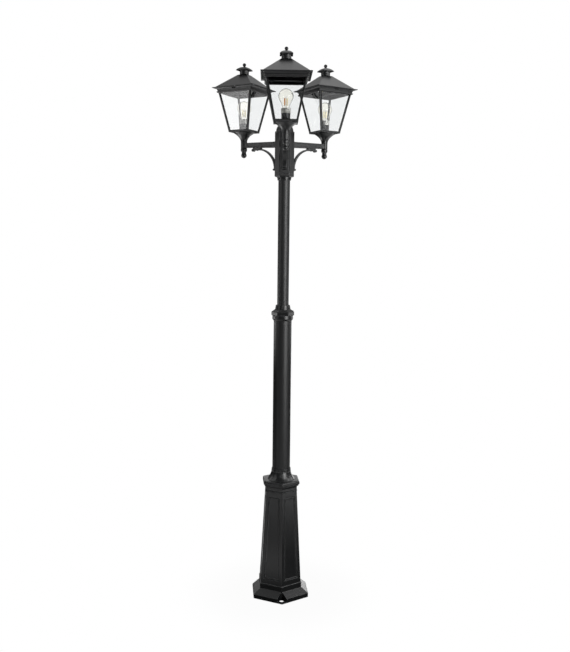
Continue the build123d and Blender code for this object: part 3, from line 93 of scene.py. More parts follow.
def new_material(name):
    """An empty node material with its output, and the Object coordinates that every pattern reads."""
    material = bpy.data.materials.new(name)
    material.use_nodes = True
    material.node_tree.nodes.clear()
    out = add(material.node_tree, "ShaderNodeOutputMaterial")
    place = add(material.node_tree, "ShaderNodeTexCoord")
    return material, material.node_tree, out, place.outputs["Object"]


def powder_coat(name, skin_mm, skin_depth_mm, roughness, rounded_edge_mm):
    """Satin black powder coat over metal whose own surface ripples by skin_depth_mm at skin_mm.

    The coat turns softly round a corner, and within rounded_edge_mm of it is painted paler: partly rubbed
    wear, partly a painted highlight along the edge.
    The cosine of how far it has turned from the face beside it says how pale it is painted.
    """
    material, tree, out, where = new_material(name)
    rounded = add(tree, "ShaderNodeBevel", samples=EDGE_RAYS, Radius=rounded_edge_mm * MM)
    face = add(tree, "ShaderNodeNewGeometry")
    turned = add(
        tree,
        "ShaderNodeVectorMath",
        {0: rounded.outputs["Normal"], 1: face.outputs["Normal"]},
        operation="DOT_PRODUCT",
    )
    # Edges painted paler: rubbed wear and a painted highlight together.
    pale_edge = add(
        tree,
        "ShaderNodeMapRange",
        {"Value": turned.outputs["Value"]},
        From_Min=PALE_EDGE_STARTS_COSINE,
        From_Max=PALE_EDGE_FULL_COSINE,
    )
    seen_at = {"Vector": where}
    peel = add(tree, "ShaderNodeTexNoise", seen_at, Scale=waves_per_metre(ORANGE_PEEL_MM), Detail=2.0)
    skin = add(tree, "ShaderNodeTexNoise", seen_at, Scale=waves_per_metre(skin_mm), Detail=3.0)
    cloud = add(tree, "ShaderNodeTexNoise", seen_at, Scale=waves_per_metre(COAT_CLOUD_MM), Detail=2.0)
    tint = add(
        tree,
        "ShaderNodeMix",
        {"Factor": cloud.outputs["Fac"]},
        data_type="RGBA",
        A=linear(COAT_BLACK),
        B=linear(COAT_FADED),
    )
    worn_and_highlit = add(
        tree,
        "ShaderNodeMix",
        {"Factor": pale_edge.outputs["Result"], "A": tint.outputs["Result"]},
        data_type="RGBA",
        B=linear(COAT_WORN_AND_HIGHLIT),
    )
    gloss = add(
        tree,
        "ShaderNodeMapRange",
        {"Value": skin.outputs["Fac"]},
        To_Min=roughness - COAT_GLOSS_SPREAD,
        To_Max=roughness + COAT_GLOSS_SPREAD,
    )
    ripple = add(
        tree,
        "ShaderNodeBump",
        {"Height": skin.outputs["Fac"], "Normal": rounded.outputs["Normal"]},
        Distance=skin_depth_mm * MM,
    )
    orange_peel = add(
        tree,
        "ShaderNodeBump",
        {"Height": peel.outputs["Fac"], "Normal": ripple.outputs["Normal"]},
        Distance=ORANGE_PEEL_DEPTH_MM * MM,
    )
    coat = add(
        tree,
        "ShaderNodeBsdfPrincipled",
        {
            "Base Color": worn_and_highlit.outputs["Result"],
            "Roughness": gloss.outputs["Result"],
            "Normal": orange_peel.outputs["Normal"],
        },
        IOR=COAT_IOR,
    )
    tree.links.new(coat.outputs["BSDF"], out.inputs["Surface"])
    return material


def welded_triangles():
    """Nodes that join a solid's loose triangles into one smooth-shaded skin."""
    group = bpy.data.node_groups.new("welded_triangles", "GeometryNodeTree")
    group.interface.new_socket("Geometry", in_out="INPUT", socket_type="NodeSocketGeometry")
    group.interface.new_socket("Geometry", in_out="OUTPUT", socket_type="NodeSocketGeometry")
    loose = add(group, "NodeGroupInput").outputs[0]
    for attribute in ("custom_normal", "sharp_edge"):
        loose = add(group, "GeometryNodeRemoveAttribute", {"Geometry": loose}, Name=attribute).outputs[0]
    welded = add(group, "GeometryNodeMergeByDistance", {"Geometry": loose}, Distance=WELD_MM * MM)
    smooth = add(group, "GeometryNodeSetShadeSmooth", {"Geometry": welded.outputs[0]}, Shade_Smooth=True)
    add(group, "NodeGroupOutput", {0: smooth.outputs[0]})
    return group


weld_group = welded_triangles()


def finish_nodes(material, names, edge_mm=0.0, join_flats=False):
    """Give CAD nodes a material, and round their edges by a width, with coplanar triangles joined first."""
    for name in names:
        node = nodes[name]
        node.data.materials.clear()
        node.data.materials.append(material)
        if edge_mm:
            weld = node.modifiers.new("Welded", "NODES")
            weld.node_group = weld_group
            if join_flats:
                flat = node.modifiers.new("Flat faces", "DECIMATE")
                flat.decimate_type = "DISSOLVE"
                flat.angle_limit = math.radians(SAME_PLANE_DEGREES)
            soft = node.modifiers.new("Soft edges", "BEVEL")
            soft.width = edge_mm * MM
            soft.segments = EDGE_SEGMENTS
            soft.limit_method = "ANGLE"
            soft.angle_limit = math.radians(CORNER_DEGREES)
            soft.use_clamp_overlap = False
            soft.harden_normals = True


cast_coat = powder_coat(
    "powder_coated_cast_aluminium",
    skin_mm=14.0,
    skin_depth_mm=0.06,
    roughness=0.31,
    rounded_edge_mm=3.0,
)
finish_nodes(cast_coat, ["base_casting", "base_cap"], CAST_EDGE_MM)

# Post: two drawn aluminium tubes, one inside the other, under the same satin powder coat.
# A drawn tube is far smoother than the castings, so its highlight runs as one clean stripe.
COAT_EDGE_MM = 0.5
tube_coat = powder_coat(
    "powder_coated_drawn_tube",
    skin_mm=160.0,
    skin_depth_mm=0.02,
    roughness=0.44,
    rounded_edge_mm=1.5,
)
finish_nodes(tube_coat, ["lower_tube", "upper_tube"], COAT_EDGE_MM)

# Collar and hub: smaller castings of the same metal and coat, turned where the tubes enter them.
# The hub carries the arms on its faces and a dome held by one screw from above.
finish_nodes(cast_coat, ["hub", "hub_cap"], CAST_EDGE_MM, join_flats=True)
finish_nodes(cast_coat, ["mast_collar", "hub_cap_screw"], COAT_EDGE_MM, join_flats=True)

# Arms, scroll brackets and turned finials: cast, coated like the base, and bolted up from inside the hub.
# A bracket is screwed under each arm, and a finial hangs under the arm's outer end.
SIDES = ("front", "right", "left")
finish_nodes(cast_coat, ["arm_finials"], CAST_EDGE_MM)
finish_nodes(cast_coat, ["bracket_screws"], COAT_EDGE_MM)
for side in SIDES:
    finish_nodes(cast_coat, [f"arm_{side}"], COAT_EDGE_MM)
    finish_nodes(cast_coat, [f"bracket_{side}"], CAST_EDGE_MM)

# Grub screws: blackened steel with a hexagon socket, left bare of paint so that a key fits them.
# Their oiled oxide is darker than zinc and glints on the machined ends.


def mottled_finish(name, blotch_mm, dark, pale, detail=2.0, **finish):
    """A surface that drifts between two shades in blotches of a real size."""
    material, tree, out, where = new_material(name)
    scale = waves_per_metre(blotch_mm)
    blotch = add(tree, "ShaderNodeTexNoise", {"Vector": where}, Scale=scale, Detail=detail)
    shade = add(
        tree,
        "ShaderNodeMix",
        {"Factor": blotch.outputs["Fac"]},
        data_type="RGBA",
        A=linear(dark),
        B=linear(pale),
    )
    skin = add(tree, "ShaderNodeBsdfPrincipled", {"Base Color": shade.outputs["Result"]}, **finish)
    tree.links.new(skin.outputs["BSDF"], out.inputs["Surface"])
    return material


blackened_steel = mottled_finish(
    "blackened_steel",
    blotch_mm=0.8,
    dark="#5b5c5e",
    pale="#8c8d8f",
    Metallic=1.0,
    Roughness=0.36,
)
finish_nodes(blackened_steel, ["post_grub_screws", "hub_grub_screws"])

# Lantern bodies: bell cup, four-bar frame with its moulded cornice, and the strap that carries the roof stud.
# They are pressure-cast thin, so the skin is finer than the pedestal's. A cup flares in one cove to the tray.
# The strap's screws are black oxide steel, too dull to glint, so their heads read as dark spots.
SCREW_EDGE_MM = 0.3
CUP_FOOT_RADIUS_MM = 13.5
CUP_RIM_RADIUS_MM = 46.0
CUP_RIM_EDGE_MM = 1.5
CUP_COVE_POWER = 2.3
CUP_COVE_STEPS = 14
CUP_WALL_MM = 3.0
CUP_FLOOR_MM = 8.0
CUP_HOLLOW_RADIUS_MM = 25.0
CUP_BORE_RADIUS_MM = 5.2
CUP_SPIN_STEPS = 64
SEAM_MM = 0.001


def uneven_gloss_finish(name, patch_mm, glossiest, dullest, **finish):
    """A surface of one colour whose roughness drifts between two values in patches of a real size."""
    material, tree, out, where = new_material(name)
    patch = add(tree, "ShaderNodeTexNoise", {"Vector": where}, Scale=waves_per_metre(patch_mm), Detail=2.0)
    gloss = add(tree, "ShaderNodeMapRange", {"Value": patch.outputs["Fac"]}, To_Min=glossiest, To_Max=dullest)
    skin = add(tree, "ShaderNodeBsdfPrincipled", {"Roughness": gloss.outputs["Result"]}, **finish)
    tree.links.new(skin.outputs["BSDF"], out.inputs["Surface"])
    return material


def lathe(shape, outline_mm, centre, steps=32):
    """Spin an outline of radius and height about the upright line through a point, and close its skin."""
    corners = []
    for radius, height in outline_mm:
        corners.append(shape.verts.new((centre.x + radius * MM, centre.y, centre.z + height * MM)))
    edges = [shape.edges.new(pair) for pair in zip(corners, corners[1:])]
    bmesh.ops.spin(
        shape,
        geom=corners + edges,
        cent=centre,
        axis=(0.0, 0.0, 1.0),
        angle=math.tau,
        steps=steps,
        use_merge=True,
    )
    bmesh.ops.remove_doubles(shape, verts=shape.verts, dist=SEAM_MM * MM)
    bmesh.ops.recalc_face_normals(shape, faces=shape.faces)


def round_edges(shape, edges, width_mm):
    """Round some edges of a bmesh by a width."""
    bmesh.ops.bevel(
        shape,
        geom=edges,
        offset=width_mm * MM,
        offset_type="OFFSET",
        segments=EDGE_SEGMENTS,
        profile=0.5,
        affect="EDGES",
        material=-1,
    )


def upright_axis(name):
    """The middle of a node's plan, at its lowest and at its highest level."""
    low, high = (Vector(corner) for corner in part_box(name))
    x = (low.x + high.x) / 2
    y = (low.y + high.y) / 2
    return Vector((x, y, low.z)), Vector((x, y, high.z))


def cup_outline(height_mm):
    """A cup's section as radius and height: up the cove, over the rim and down the hollow to the bore."""
    outline = [(CUP_BORE_RADIUS_MM, 0.0)]
    for step in range(CUP_COVE_STEPS + 1):
        rise = step / CUP_COVE_STEPS
        flare_mm = (CUP_RIM_RADIUS_MM - CUP_FOOT_RADIUS_MM) * rise ** CUP_COVE_POWER
        outline.append((CUP_FOOT_RADIUS_MM + flare_mm, (height_mm - CUP_RIM_EDGE_MM) * rise))
    outline.append((CUP_RIM_RADIUS_MM, height_mm))
    outline.append((CUP_HOLLOW_RADIUS_MM, height_mm))
    outline.append((CUP_FOOT_RADIUS_MM - CUP_WALL_MM, CUP_FLOOR_MM))
    outline.append((CUP_BORE_RADIUS_MM, CUP_FLOOR_MM))
    outline.append(outline[0])
    return outline


def new_piece(name, shape, material, body):
    """Turn a bmesh into a smooth-shaded piece with one material, riding on a body."""
    mesh = bpy.data.meshes.new(name)
    shape.to_mesh(mesh)
    shape.free()
    mesh.materials.append(material)
    mesh.shade_smooth()
    piece = bpy.data.objects.new(name, mesh)
    bpy.context.scene.collection.objects.link(piece)
    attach(piece, body)
    return piece


lantern_coat = powder_coat(
    "powder_coated_lantern",
    skin_mm=9.0,
    skin_depth_mm=0.03,
    roughness=0.32,
    rounded_edge_mm=1.6,
)
black_oxide = uneven_gloss_finish(
    "black_oxide_steel",
    patch_mm=0.6,
    glossiest=0.65,
    dullest=0.8,
    Base_Color=linear("#08080a"),
    IOR=1.3,
)
finish_nodes(black_oxide, ["strap_screws"], SCREW_EDGE_MM, join_flats=True)
for side in SIDES:
    finish_nodes(lantern_coat, [f"lantern_frame_{side}", f"bridge_{side}"], COAT_EDGE_MM)
    cup_foot, cup_rim = upright_axis(f"cup_{side}")
    cup = bmesh.new()
    lathe(cup, cup_outline((cup_rim.z - cup_foot.z) / MM), cup_foot, CUP_SPIN_STEPS)
    corners = [edge for edge in cup.edges if edge.calc_face_angle() > math.radians(CORNER_DEGREES)]
    round_edges(cup, corners, COAT_EDGE_MM)
    piece = new_piece(f"bell_cup_{side}", cup, lantern_coat, "head")
    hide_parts(f"cup_{side}")

# Panes: clear float glass in slots of the frame, dropped in from above before the roof goes on.
# The faces mirror the pale surroundings a little, which greys what stands behind them.


def rippled_finish(name, wave_mm, depth_mm, detail=2.0, **finish):
    """A surface of one colour with waves or grain of a real size and depth."""
    material, tree, out, where = new_material(name)
    wave = add(tree, "ShaderNodeTexNoise", {"Vector": where}, Scale=waves_per_metre(wave_mm), Detail=detail)
    relief = add(tree, "ShaderNodeBump", {"Height": wave.outputs["Fac"]}, Distance=depth_mm * MM)
    skin = add(tree, "ShaderNodeBsdfPrincipled", {"Normal": relief.outputs["Normal"]}, **finish)
    tree.links.new(skin.outputs["BSDF"], out.inputs["Surface"])
    return material


pane_glass = rippled_finish(
    "clear_float_glass",
    wave_mm=60.0,
    depth_mm=0.004,
    detail=1.0,
    Base_Color=linear("#fdfefe"),
    Roughness=0.01,
    IOR=1.5,
    Transmission_Weight=1.0,
)
for side in SIDES:
    finish_nodes(pane_glass, [f"panes_{side}"])

# Bulbs: a blown clear globe on a pressed screw cap, turned into a black holder with a plated ring.
# Sealed in the globe stands a drawn glass stem, and its wires hold two filament sticks by their plated ends.
# The stem's outline gives radius and height, and every height is measured from the cap's rim.
STEM_OUTLINE_MM = (
    (0.0, -9.0),
    (8.5, -9.0),
    (7.9, -6.0),
    (4.6, -1.0),
    (3.2, 4.0),
    (3.2, 7.0),
    (1.6, 9.0),
    (2.1, 10.5),
    (0.0, 11.4),
)
STEM_TOP_MM = 11.0
HOOK_MM = 53.0
STICK_RADIUS_MM = 2.6
STICK_HEIGHT_MM = 28.0
STICK_FOOT_MM = 17.0
STICK_PLACES_MM = ((-4.6, -2.5), (4.6, 2.5))
STICK_SIDES = 16
STICK_END_MM = 2.2
STICK_END_RADIUS_MM = 1.56
WIRE_RADIUS_MM = 0.25
ROD_RIM_DEGREES = 60.0
ROD_RIM_SHARE = 0.35
PHOSPHOR_GRAIN_MM = 1.5
FILAMENT_ROUGHNESS = 0.5

# Blown glass is a thin skin that ripples at finger width. The low IOR is for how little it bends the view.
bulb_glass = rippled_finish(
    "blown_bulb_glass",
    wave_mm=25.0,
    depth_mm=0.05,
    detail=1.0,
    Base_Color=linear("#fffefa"),
    Roughness=0.0,
    IOR=1.2,
    Transmission_Weight=1.0,
)

# The sticks are coated in silicone with phosphor grains in it, which is matt and slightly speckled.
amber_stick = mottled_finish(
    "amber_filament",
    blotch_mm=PHOSPHOR_GRAIN_MM,
    dark="#c06a00",
    pale="#e49a1c",
    Roughness=FILAMENT_ROUGHNESS,
)
# The pale copy is painted light: the same phosphor drawn as if lit on its bright side, a painted highlight in
# the stick's colour.
painted_lit_stick = mottled_finish(
    "painted_lit_filament",
    blotch_mm=PHOSPHOR_GRAIN_MM,
    dark="#f6e6a8",
    pale="#fff6d2",
    Roughness=FILAMENT_ROUGHNESS,
)

# Nickel plate over drawn metal has a broad, soft shine, and the moulded holder a fine matt grain.
plated = uneven_gloss_finish(
    "nickel_plated_shell",
    patch_mm=2.0,
    glossiest=0.55,
    dullest=0.68,
    Base_Color=linear("#d2d1cc"),
    Metallic=1.0,
)
moulded = rippled_finish(
    "black_moulded_plastic",
    wave_mm=0.9,
    depth_mm=0.02,
    Base_Color=linear("#17181a"),
    Roughness=0.45,
    IOR=1.47,
)
finish_nodes(moulded, ["lampholders", "hub_connector"], COAT_EDGE_MM)
finish_nodes(plated, ["holder_rings"], COAT_EDGE_MM)


def rod_between(shape, start, end, radius_mm, sides=10):
    """A round rod with softened ends from one point to another."""
    run = end - start
    turn = run.to_track_quat("Z", "Y").to_matrix().to_4x4()
    made = bmesh.ops.create_cone(
        shape,
        cap_ends=True,
        segments=sides,
        radius1=radius_mm * MM,
        radius2=radius_mm * MM,
        depth=run.length,
        matrix=Matrix.Translation((start + end) / 2) @ turn,
    )
    skin = [edge for edge in shape.edges if edge.verts[0] in made["verts"] and len(edge.link_faces) == 2]
    rims = [edge for edge in skin if edge.calc_face_angle() > math.radians(ROD_RIM_DEGREES)]
    round_edges(shape, rims, radius_mm * ROD_RIM_SHARE)


one_up = Vector((0.0, 0.0, MM))
for side in SIDES:
    finish_nodes(bulb_glass, [f"bulb_{side}"])
    finish_nodes(plated, [f"bulb_cap_{side}"])
    cap_rim = upright_axis(f"bulb_cap_{side}")[1]
    hook = cap_rim + one_up * HOOK_MM
    glass_stem = bmesh.new()
    lathe(glass_stem, STEM_OUTLINE_MM, cap_rim)
    new_piece(f"bulb_stem_{side}", glass_stem, bulb_glass, f"lamp_{side}")
    wires = bmesh.new()
    rod_between(wires, cap_rim + one_up * STEM_TOP_MM, hook, WIRE_RADIUS_MM)
    for number, (across_mm, along_mm) in enumerate(STICK_PLACES_MM, 1):
        stick_foot = cap_rim + Vector((across_mm, along_mm, STICK_FOOT_MM)) * MM
        stick_top = stick_foot + one_up * STICK_HEIGHT_MM
        lower_end = stick_foot - one_up * STICK_END_MM
        upper_end = stick_top + one_up * STICK_END_MM
        rod_between(wires, lower_end, stick_foot, STICK_END_RADIUS_MM)
        rod_between(wires, stick_top, upper_end, STICK_END_RADIUS_MM)
        rod_between(wires, cap_rim, lower_end, WIRE_RADIUS_MM)
        rod_between(wires, upper_end, hook, WIRE_RADIUS_MM)
        stick = bmesh.new()
        rod_between(stick, stick_foot, stick_top, STICK_RADIUS_MM, STICK_SIDES)
        # Only the front lamp's first stick keeps the amber; every other stick takes the pale copy, painted as
        # lit.
        coat = amber_stick if number == 1 and side == "front" else painted_lit_stick
        piece = new_piece(f"bulb_stick_{number}_{side}", stick, coat, f"lamp_{side}")
        if number == 1:
            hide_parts(f"filament_{side}")
    new_piece(f"bulb_wires_{side}", wires, plated, f"lamp_{side}")

# Roofs: four-sided pressings with a flat eave and a round chimney, each under a square hat and a turned ball.
# They have the lantern's own coat, and the ball is the nut that holds hat and roof down on the strap's stud.
for side in SIDES:
    finish_nodes(lantern_coat, [f"roof_{side}", f"hat_{side}"], COAT_EDGE_MM)
    finish_nodes(lantern_coat, [f"ball_finial_{side}"], COAT_EDGE_MM, join_flats=True)

# Parts inside: zinc-plated gear tray and bolts, white terminal block, brass nipples and black rubber cable.
# They are bought in and left in their own finish, because the coated castings hide them.
SPANGLE_MM = 6.0

# Zinc plate is bright with faint spangles in two greys.
zinc, tree, out, where = new_material("zinc_plated_steel")
spangle = add(tree, "ShaderNodeTexVoronoi", {"Vector": where}, Scale=waves_per_metre(SPANGLE_MM))
greys = add(
    tree,
    "ShaderNodeMix",
    {"Factor": spangle.outputs["Distance"]},
    data_type="RGBA",
    A=linear("#a9abac"),
    B=linear("#c4c6c6"),
)
plate = add(
    tree,
    "ShaderNodeBsdfPrincipled",
    {"Base Color": greys.outputs["Result"]},
    Metallic=1.0,
    Roughness=0.34,
)
tree.links.new(plate.outputs["BSDF"], out.inputs["Surface"])
finish_nodes(zinc, ["gear_tray", "flange_screws", "hub_bolts"])

# The moulded block is satin white, the turned brass tarnishes in patches, and the cable is dusted with talc.
white_plastic = rippled_finish(
    "white_moulded_plastic",
    wave_mm=1.2,
    depth_mm=0.02,
    Base_Color=linear("#e4e4df"),
    Roughness=0.4,
    IOR=1.47,
)
finish_nodes(white_plastic, ["terminal_block"])
brass = mottled_finish(
    "turned_brass",
    blotch_mm=1.0,
    dark="#b08d57",
    pale="#cfae72",
    Metallic=1.0,
    Roughness=0.3,
)
finish_nodes(brass, ["lantern_nipples"])
rubber = mottled_finish(
    "cable_rubber",
    blotch_mm=3.0,
    dark="#1b1b1c",
    pale="#2b2b2c",
    detail=3.0,
    Roughness=0.6,
)
finish_nodes(rubber, ["mast_cable", "arm_leads"])

# Studio: a dark room with two sheets of white paper on the floor, one hung at the back and a pale ceiling.
# The camera sees white all round, also through clear glass, with the post's faint shadow close to its foot.
# Glossy faces mirror the paper, the ceiling and the lights, which gives the black coat its highlights.
FLOOR_HALF_M = 30.0
PAPER_HALF_WIDTH_M = 1.6
PAPER_NEAR_M = 0.1
PAPER_FAR_M = 1.5
STRIP_LEFT_M = -0.75
STRIP_RIGHT_M = 0.4
STRIP_FRONT_M = -2.6
PAPER_FADE_M = 0.25
FOOT_SHADE_M = 0.25
SHADOW_REACH_M = 0.5
SHADOW_CORE_M = SHADOW_REACH_M / 3
SHADOW_WHITE = 0.97
FLOOR_GREY = "#505050"
BEFORE_A_BOUNCE = 0.5
floor_mesh = bpy.data.meshes.new("studio_floor")
ground = bmesh.new()
bmesh.ops.create_grid(ground, x_segments=1, y_segments=1, size=FLOOR_HALF_M)
ground.to_mesh(floor_mesh)
ground.free()
floor = bpy.data.objects.new("studio_floor", floor_mesh)
bpy.context.scene.collection.objects.link(floor)


def where_all(tree, *fades):
    """One where every fade is complete, and less towards the start of any of them.

    A fade is a value, where it starts and where it is complete, and may end with its least and full strength.
    """
    share = None
    for value, start, end, *strengths in fades:
        least, full = strengths or (0.0, 1.0)
        step = add(
            tree,
            "ShaderNodeMapRange",
            {"Value": value},
            interpolation_type="SMOOTHSTEP",
            From_Min=start,
            From_Max=end,
            To_Min=least,
            To_Max=full,
        )
        if share is None:
            share = step.outputs["Result"]
        else:
            product = add(tree, "ShaderNodeMath", {0: share, 1: step.outputs["Result"]}, operation="MULTIPLY")
            share = product.outputs[0]
    return share


def shown_white(tree, mirrored):
    """One for rays from the camera or straight through glass, and the mirrored share off glossy faces."""
    seen = add(tree, "ShaderNodeLightPath")
    by_camera = seen.outputs["Is Camera Ray"]
    by_glass = seen.outputs["Is Transmission Ray"]
    by_gloss = seen.outputs["Is Glossy Ray"]
    unturned = add(tree, "ShaderNodeMath", {0: seen.outputs["Glossy Depth"]}, operation="LESS_THAN")
    unturned.inputs[1].default_value = BEFORE_A_BOUNCE
    through = add(tree, "ShaderNodeMath", {0: by_glass, 1: unturned.outputs[0]}, operation="MULTIPLY")
    direct = add(tree, "ShaderNodeMath", {0: by_camera, 1: through.outputs[0]}, operation="MAXIMUM")
    turned = add(tree, "ShaderNodeMath", {0: by_glass, 1: by_gloss}, operation="MAXIMUM")
    reflected = add(tree, "ShaderNodeMath", {0: turned.outputs[0], 1: mirrored}, operation="MULTIPLY")
    white = add(tree, "ShaderNodeMath", {0: direct.outputs[0], 1: reflected.outputs[0]}, operation="MAXIMUM")
    return white.outputs[0]


paper, tree, out, where = new_material("white_paper_floor")
spot = add(tree, "ShaderNodeSeparateXYZ", {"Vector": where})
across = spot.outputs["X"]
behind = spot.outputs["Y"]
aside = add(tree, "ShaderNodeMath", {0: across}, operation="ABSOLUTE").outputs[0]
from_post = add(tree, "ShaderNodeVectorMath", {0: where}, operation="LENGTH").outputs["Value"]
wide_sheet = where_all(
    tree,
    (behind, PAPER_NEAR_M, PAPER_NEAR_M + PAPER_FADE_M),
    (behind, PAPER_FAR_M, PAPER_FAR_M - PAPER_FADE_M),
    (aside, PAPER_HALF_WIDTH_M, PAPER_HALF_WIDTH_M - PAPER_FADE_M),
)
front_strip = where_all(
    tree,
    (across, STRIP_LEFT_M, STRIP_LEFT_M + PAPER_FADE_M),
    (across, STRIP_RIGHT_M, STRIP_RIGHT_M - PAPER_FADE_M),
    (behind, STRIP_FRONT_M, STRIP_FRONT_M + PAPER_FADE_M),
    (behind, PAPER_FAR_M, PAPER_FAR_M - PAPER_FADE_M),
)
sheets = add(tree, "ShaderNodeMath", {0: wide_sheet, 1: front_strip}, operation="MAXIMUM")
# Close to the foot the paper's mirrored white fades to the grey floor: painted shade for the post's shadow as
# glossy faces see it.
outside_painted_foot_shade = where_all(tree, (from_post, FOOT_SHADE_M, FOOT_SHADE_M + PAPER_FADE_M))
lit_paper = add(tree, "ShaderNodeMath", {0: sheets.outputs[0], 1: outside_painted_foot_shade}, operation="MULTIPLY")
clear_of_post = where_all(tree, (from_post, SHADOW_CORE_M, SHADOW_REACH_M))
matt = add(tree, "ShaderNodeBsdfDiffuse", Color=linear(FLOOR_GREY))
white = add(tree, "ShaderNodeEmission", Strength=1.0)
shaded = add(tree, "ShaderNodeMixShader", {1: matt.outputs[0], 2: white.outputs[0]}, Fac=SHADOW_WHITE)
to_eye = add(tree, "ShaderNodeMixShader", {0: clear_of_post, 1: shaded.outputs[0], 2: white.outputs[0]})
surface = add(
    tree,
    "ShaderNodeMixShader",
    {0: shown_white(tree, lit_paper.outputs[0]), 1: matt.outputs[0], 2: to_eye.outputs[0]},
)
tree.links.new(surface.outputs[0], out.inputs["Surface"])
floor_mesh.materials.append(paper)

# The room beyond the floor, by the direction in which it is seen. Where its ceiling and hung sheet start and
# reach their full white is given as how far a unit vector points up, backwards or aside.
CEILING_RISE = (0.35, 0.75)
CEILING_DEPTH = (-0.5, 0.3)
CEILING_WHITE = 0.58
SHEET_SPREAD = 0.42
SHEET_FADE = 0.1
SHEET_DEPTH = (0.1, 0.4)
SHEET_TOP = (0.52, 0.32)
SHEET_LEAST_WHITE = 0.25
ROOM_STRENGTH = 0.1
world = bpy.data.worlds.new("studio_surround")
bpy.context.scene.world = world
world.use_nodes = True
tree = world.node_tree
tree.nodes.clear()
out = add(tree, "ShaderNodeOutputWorld")
look = add(tree, "ShaderNodeTexCoord")
heading = add(tree, "ShaderNodeSeparateXYZ", {"Vector": look.outputs["Generated"]})
behind = heading.outputs["Y"]
upward = heading.outputs["Z"]
aside = add(tree, "ShaderNodeMath", {0: heading.outputs["X"]}, operation="ABSOLUTE").outputs[0]
ceiling = where_all(tree, (upward, *CEILING_RISE, 0.0, CEILING_WHITE), (behind, *CEILING_DEPTH))
hung_sheet = where_all(
    tree,
    (aside, SHEET_SPREAD + SHEET_FADE, SHEET_SPREAD - SHEET_FADE),
    (behind, *SHEET_DEPTH),
    (upward, *SHEET_TOP, SHEET_LEAST_WHITE, 1.0),
)
pale_parts = add(tree, "ShaderNodeMath", {0: ceiling, 1: hung_sheet}, operation="MAXIMUM")
room = add(tree, "ShaderNodeBackground", Strength=ROOM_STRENGTH)
backdrop = add(tree, "ShaderNodeBackground", Color=linear("#ffffff"), Strength=1.0)
surround = add(
    tree,
    "ShaderNodeMixShader",
    {0: shown_white(tree, pale_parts.outputs[0]), 1: room.outputs[0], 2: backdrop.outputs[0]},
)
tree.links.new(surround.outputs[0], out.inputs["Surface"])


def soft_box(name, place, aim, size, glow):
    """A rectangular soft box that faces a point, with its glow given where paper white is 1."""
    lamp = bpy.data.lights.new(name, "AREA")
    lamp.shape = "RECTANGLE"
    width, height = size
    lamp.size = width
    lamp.size_y = height
    lamp.energy = glow * math.pi * width * height
    holder = bpy.data.objects.new(name, lamp)
    turn = (Vector(aim) - Vector(place)).to_track_quat("-Z", "Y")
    holder.matrix_world = Matrix.Translation(place) @ turn.to_matrix().to_4x4()
    bpy.context.scene.collection.objects.link(holder)


# Places and sizes are in metres. A level card is aimed a centimetre to one side of straight up or down, which
# makes its first size run from front to back.
soft_box("key_right", place=(1.75, -2.0, 1.75), aim=(0.0, 0.0, 1.6), size=(1.2, 2.3), glow=8.0)
soft_box("overhead", place=(0.6, 0.3, 3.6), aim=(0.59, 0.3, 2.0), size=(2.0, 2.0), glow=0.95)
soft_box("side_left", place=(-2.4, -1.15, 2.25), aim=(-0.2, 0.1, 2.2), size=(0.5, 1.5), glow=2.6)
soft_box("side_right", place=(2.4, -1.15, 2.25), aim=(0.2, 0.1, 2.2), size=(0.5, 1.5), glow=1.2)
soft_box("rim_left", place=(-2.2, 1.3, 2.15), aim=(0.0, 0.0, 2.0), size=(0.8, 0.9), glow=0.75)
soft_box("rim_right", place=(2.2, 1.3, 1.8), aim=(0.0, 0.0, 1.8), size=(0.8, 1.6), glow=0.7)
soft_box("hub_fill", place=(-0.1, -3.0, 2.25), aim=(0.0, 0.0, 1.95), size=(1.4, 0.35), glow=3.2)
soft_box("floor_card_left", place=(-1.8, -1.2, 0.02), aim=(-1.79, -1.2, 2.0), size=(0.8, 1.4), glow=2.0)
soft_box("floor_card_right", place=(2.0, -0.8, 0.02), aim=(1.99, -0.8, 2.0), size=(0.8, 1.1), glow=2.4)
soft_box("cornice_card_left", place=(-2.8, -1.15, 0.95), aim=(-2.79, -1.15, 2.0), size=(1.6, 1.4), glow=3.6)
soft_box("cornice_card_right", place=(2.7, -0.8, 0.95), aim=(2.69, -0.8, 2.0), size=(1.4, 1.2), glow=1.2)
soft_box("cup_card_left", place=(-1.6, 0.65, 1.0), aim=(-1.59, 0.65, 2.0), size=(1.1, 1.5), glow=5.0)
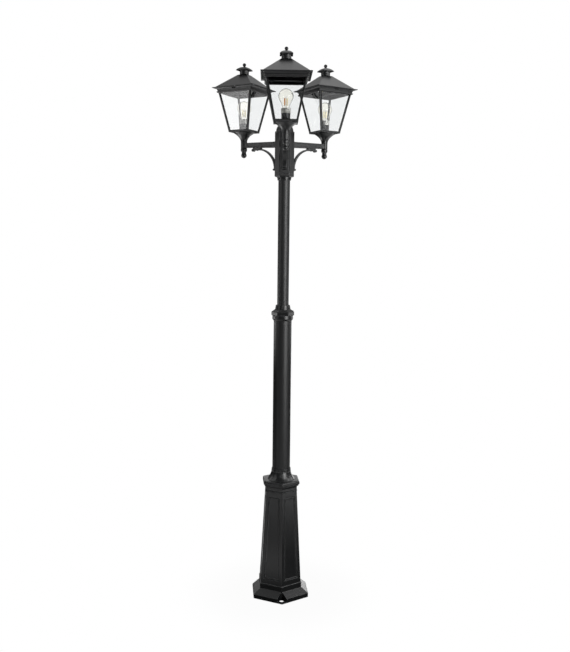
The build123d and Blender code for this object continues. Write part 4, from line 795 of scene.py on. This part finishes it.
soft_box("cup_card_right", place=(1.6, 0.85, 1.0), aim=(1.59, 0.85, 2.0), size=(1.1, 1.0), glow=3.0)
soft_box("front_fill", place=(-1.1, -2.9, 1.25), aim=(0.0, 0.0, 1.25), size=(0.7, 0.5), glow=0.7)
soft_box("bell_panel_left", place=(-2.1, 0.9, 1.4), aim=(-2.09, 0.9, 0.0), size=(1.2, 1.4), glow=1.2)
soft_box("bell_panel_right", place=(2.1, 0.9, 1.4), aim=(2.09, 0.9, 0.0), size=(1.2, 1.4), glow=2.6)
soft_box("high_left", place=(-2.4, -0.1, 2.6), aim=(0.0, 0.0, 0.5), size=(1.0, 1.0), glow=1.4)
soft_box("high_right", place=(2.4, -0.2, 2.6), aim=(0.0, 0.0, 0.5), size=(1.0, 1.0), glow=4.0)
soft_box("low_back_right", place=(1.3, 3.0, 0.5), aim=(0.1, 0.0, 0.3), size=(0.9, 0.9), glow=3.2)

# Camera: stands 3.4 m in front of the post and 1.56 m up, and looks 6 degrees down.
# Its place, its angles in radians and its focal length were fitted to the photo's lanterns and base together.
PHOTO_HEIGHT = 652
FOCAL_PIXELS = 793.85
SENSOR_MM = 36.0
STAND = Vector((-0.0577, -3.4321, 1.5571))
HEADING = 0.0198
PITCH = 0.1040
ROLL = 0.0112
lens = bpy.data.cameras.new("photo_camera")
lens.sensor_fit = "VERTICAL"
lens.sensor_height = SENSOR_MM
lens.lens = SENSOR_MM * FOCAL_PIXELS / PHOTO_HEIGHT
camera = bpy.data.objects.new("photo_camera", lens)
ahead = Vector((math.sin(HEADING) * math.cos(PITCH), math.cos(HEADING) * math.cos(PITCH), -math.sin(PITCH)))
level = Vector((math.cos(HEADING), -math.sin(HEADING), 0.0))
upright = level.cross(ahead)
rightward = math.cos(ROLL) * level + math.sin(ROLL) * upright
above = math.cos(ROLL) * upright - math.sin(ROLL) * level
camera.matrix_world = Matrix.Translation(STAND) @ Matrix((rightward, above, -ahead)).transposed().to_4x4()
bpy.context.scene.collection.objects.link(camera)
bpy.context.scene.camera = camera
bpy.context.scene.view_settings.view_transform = "Standard"
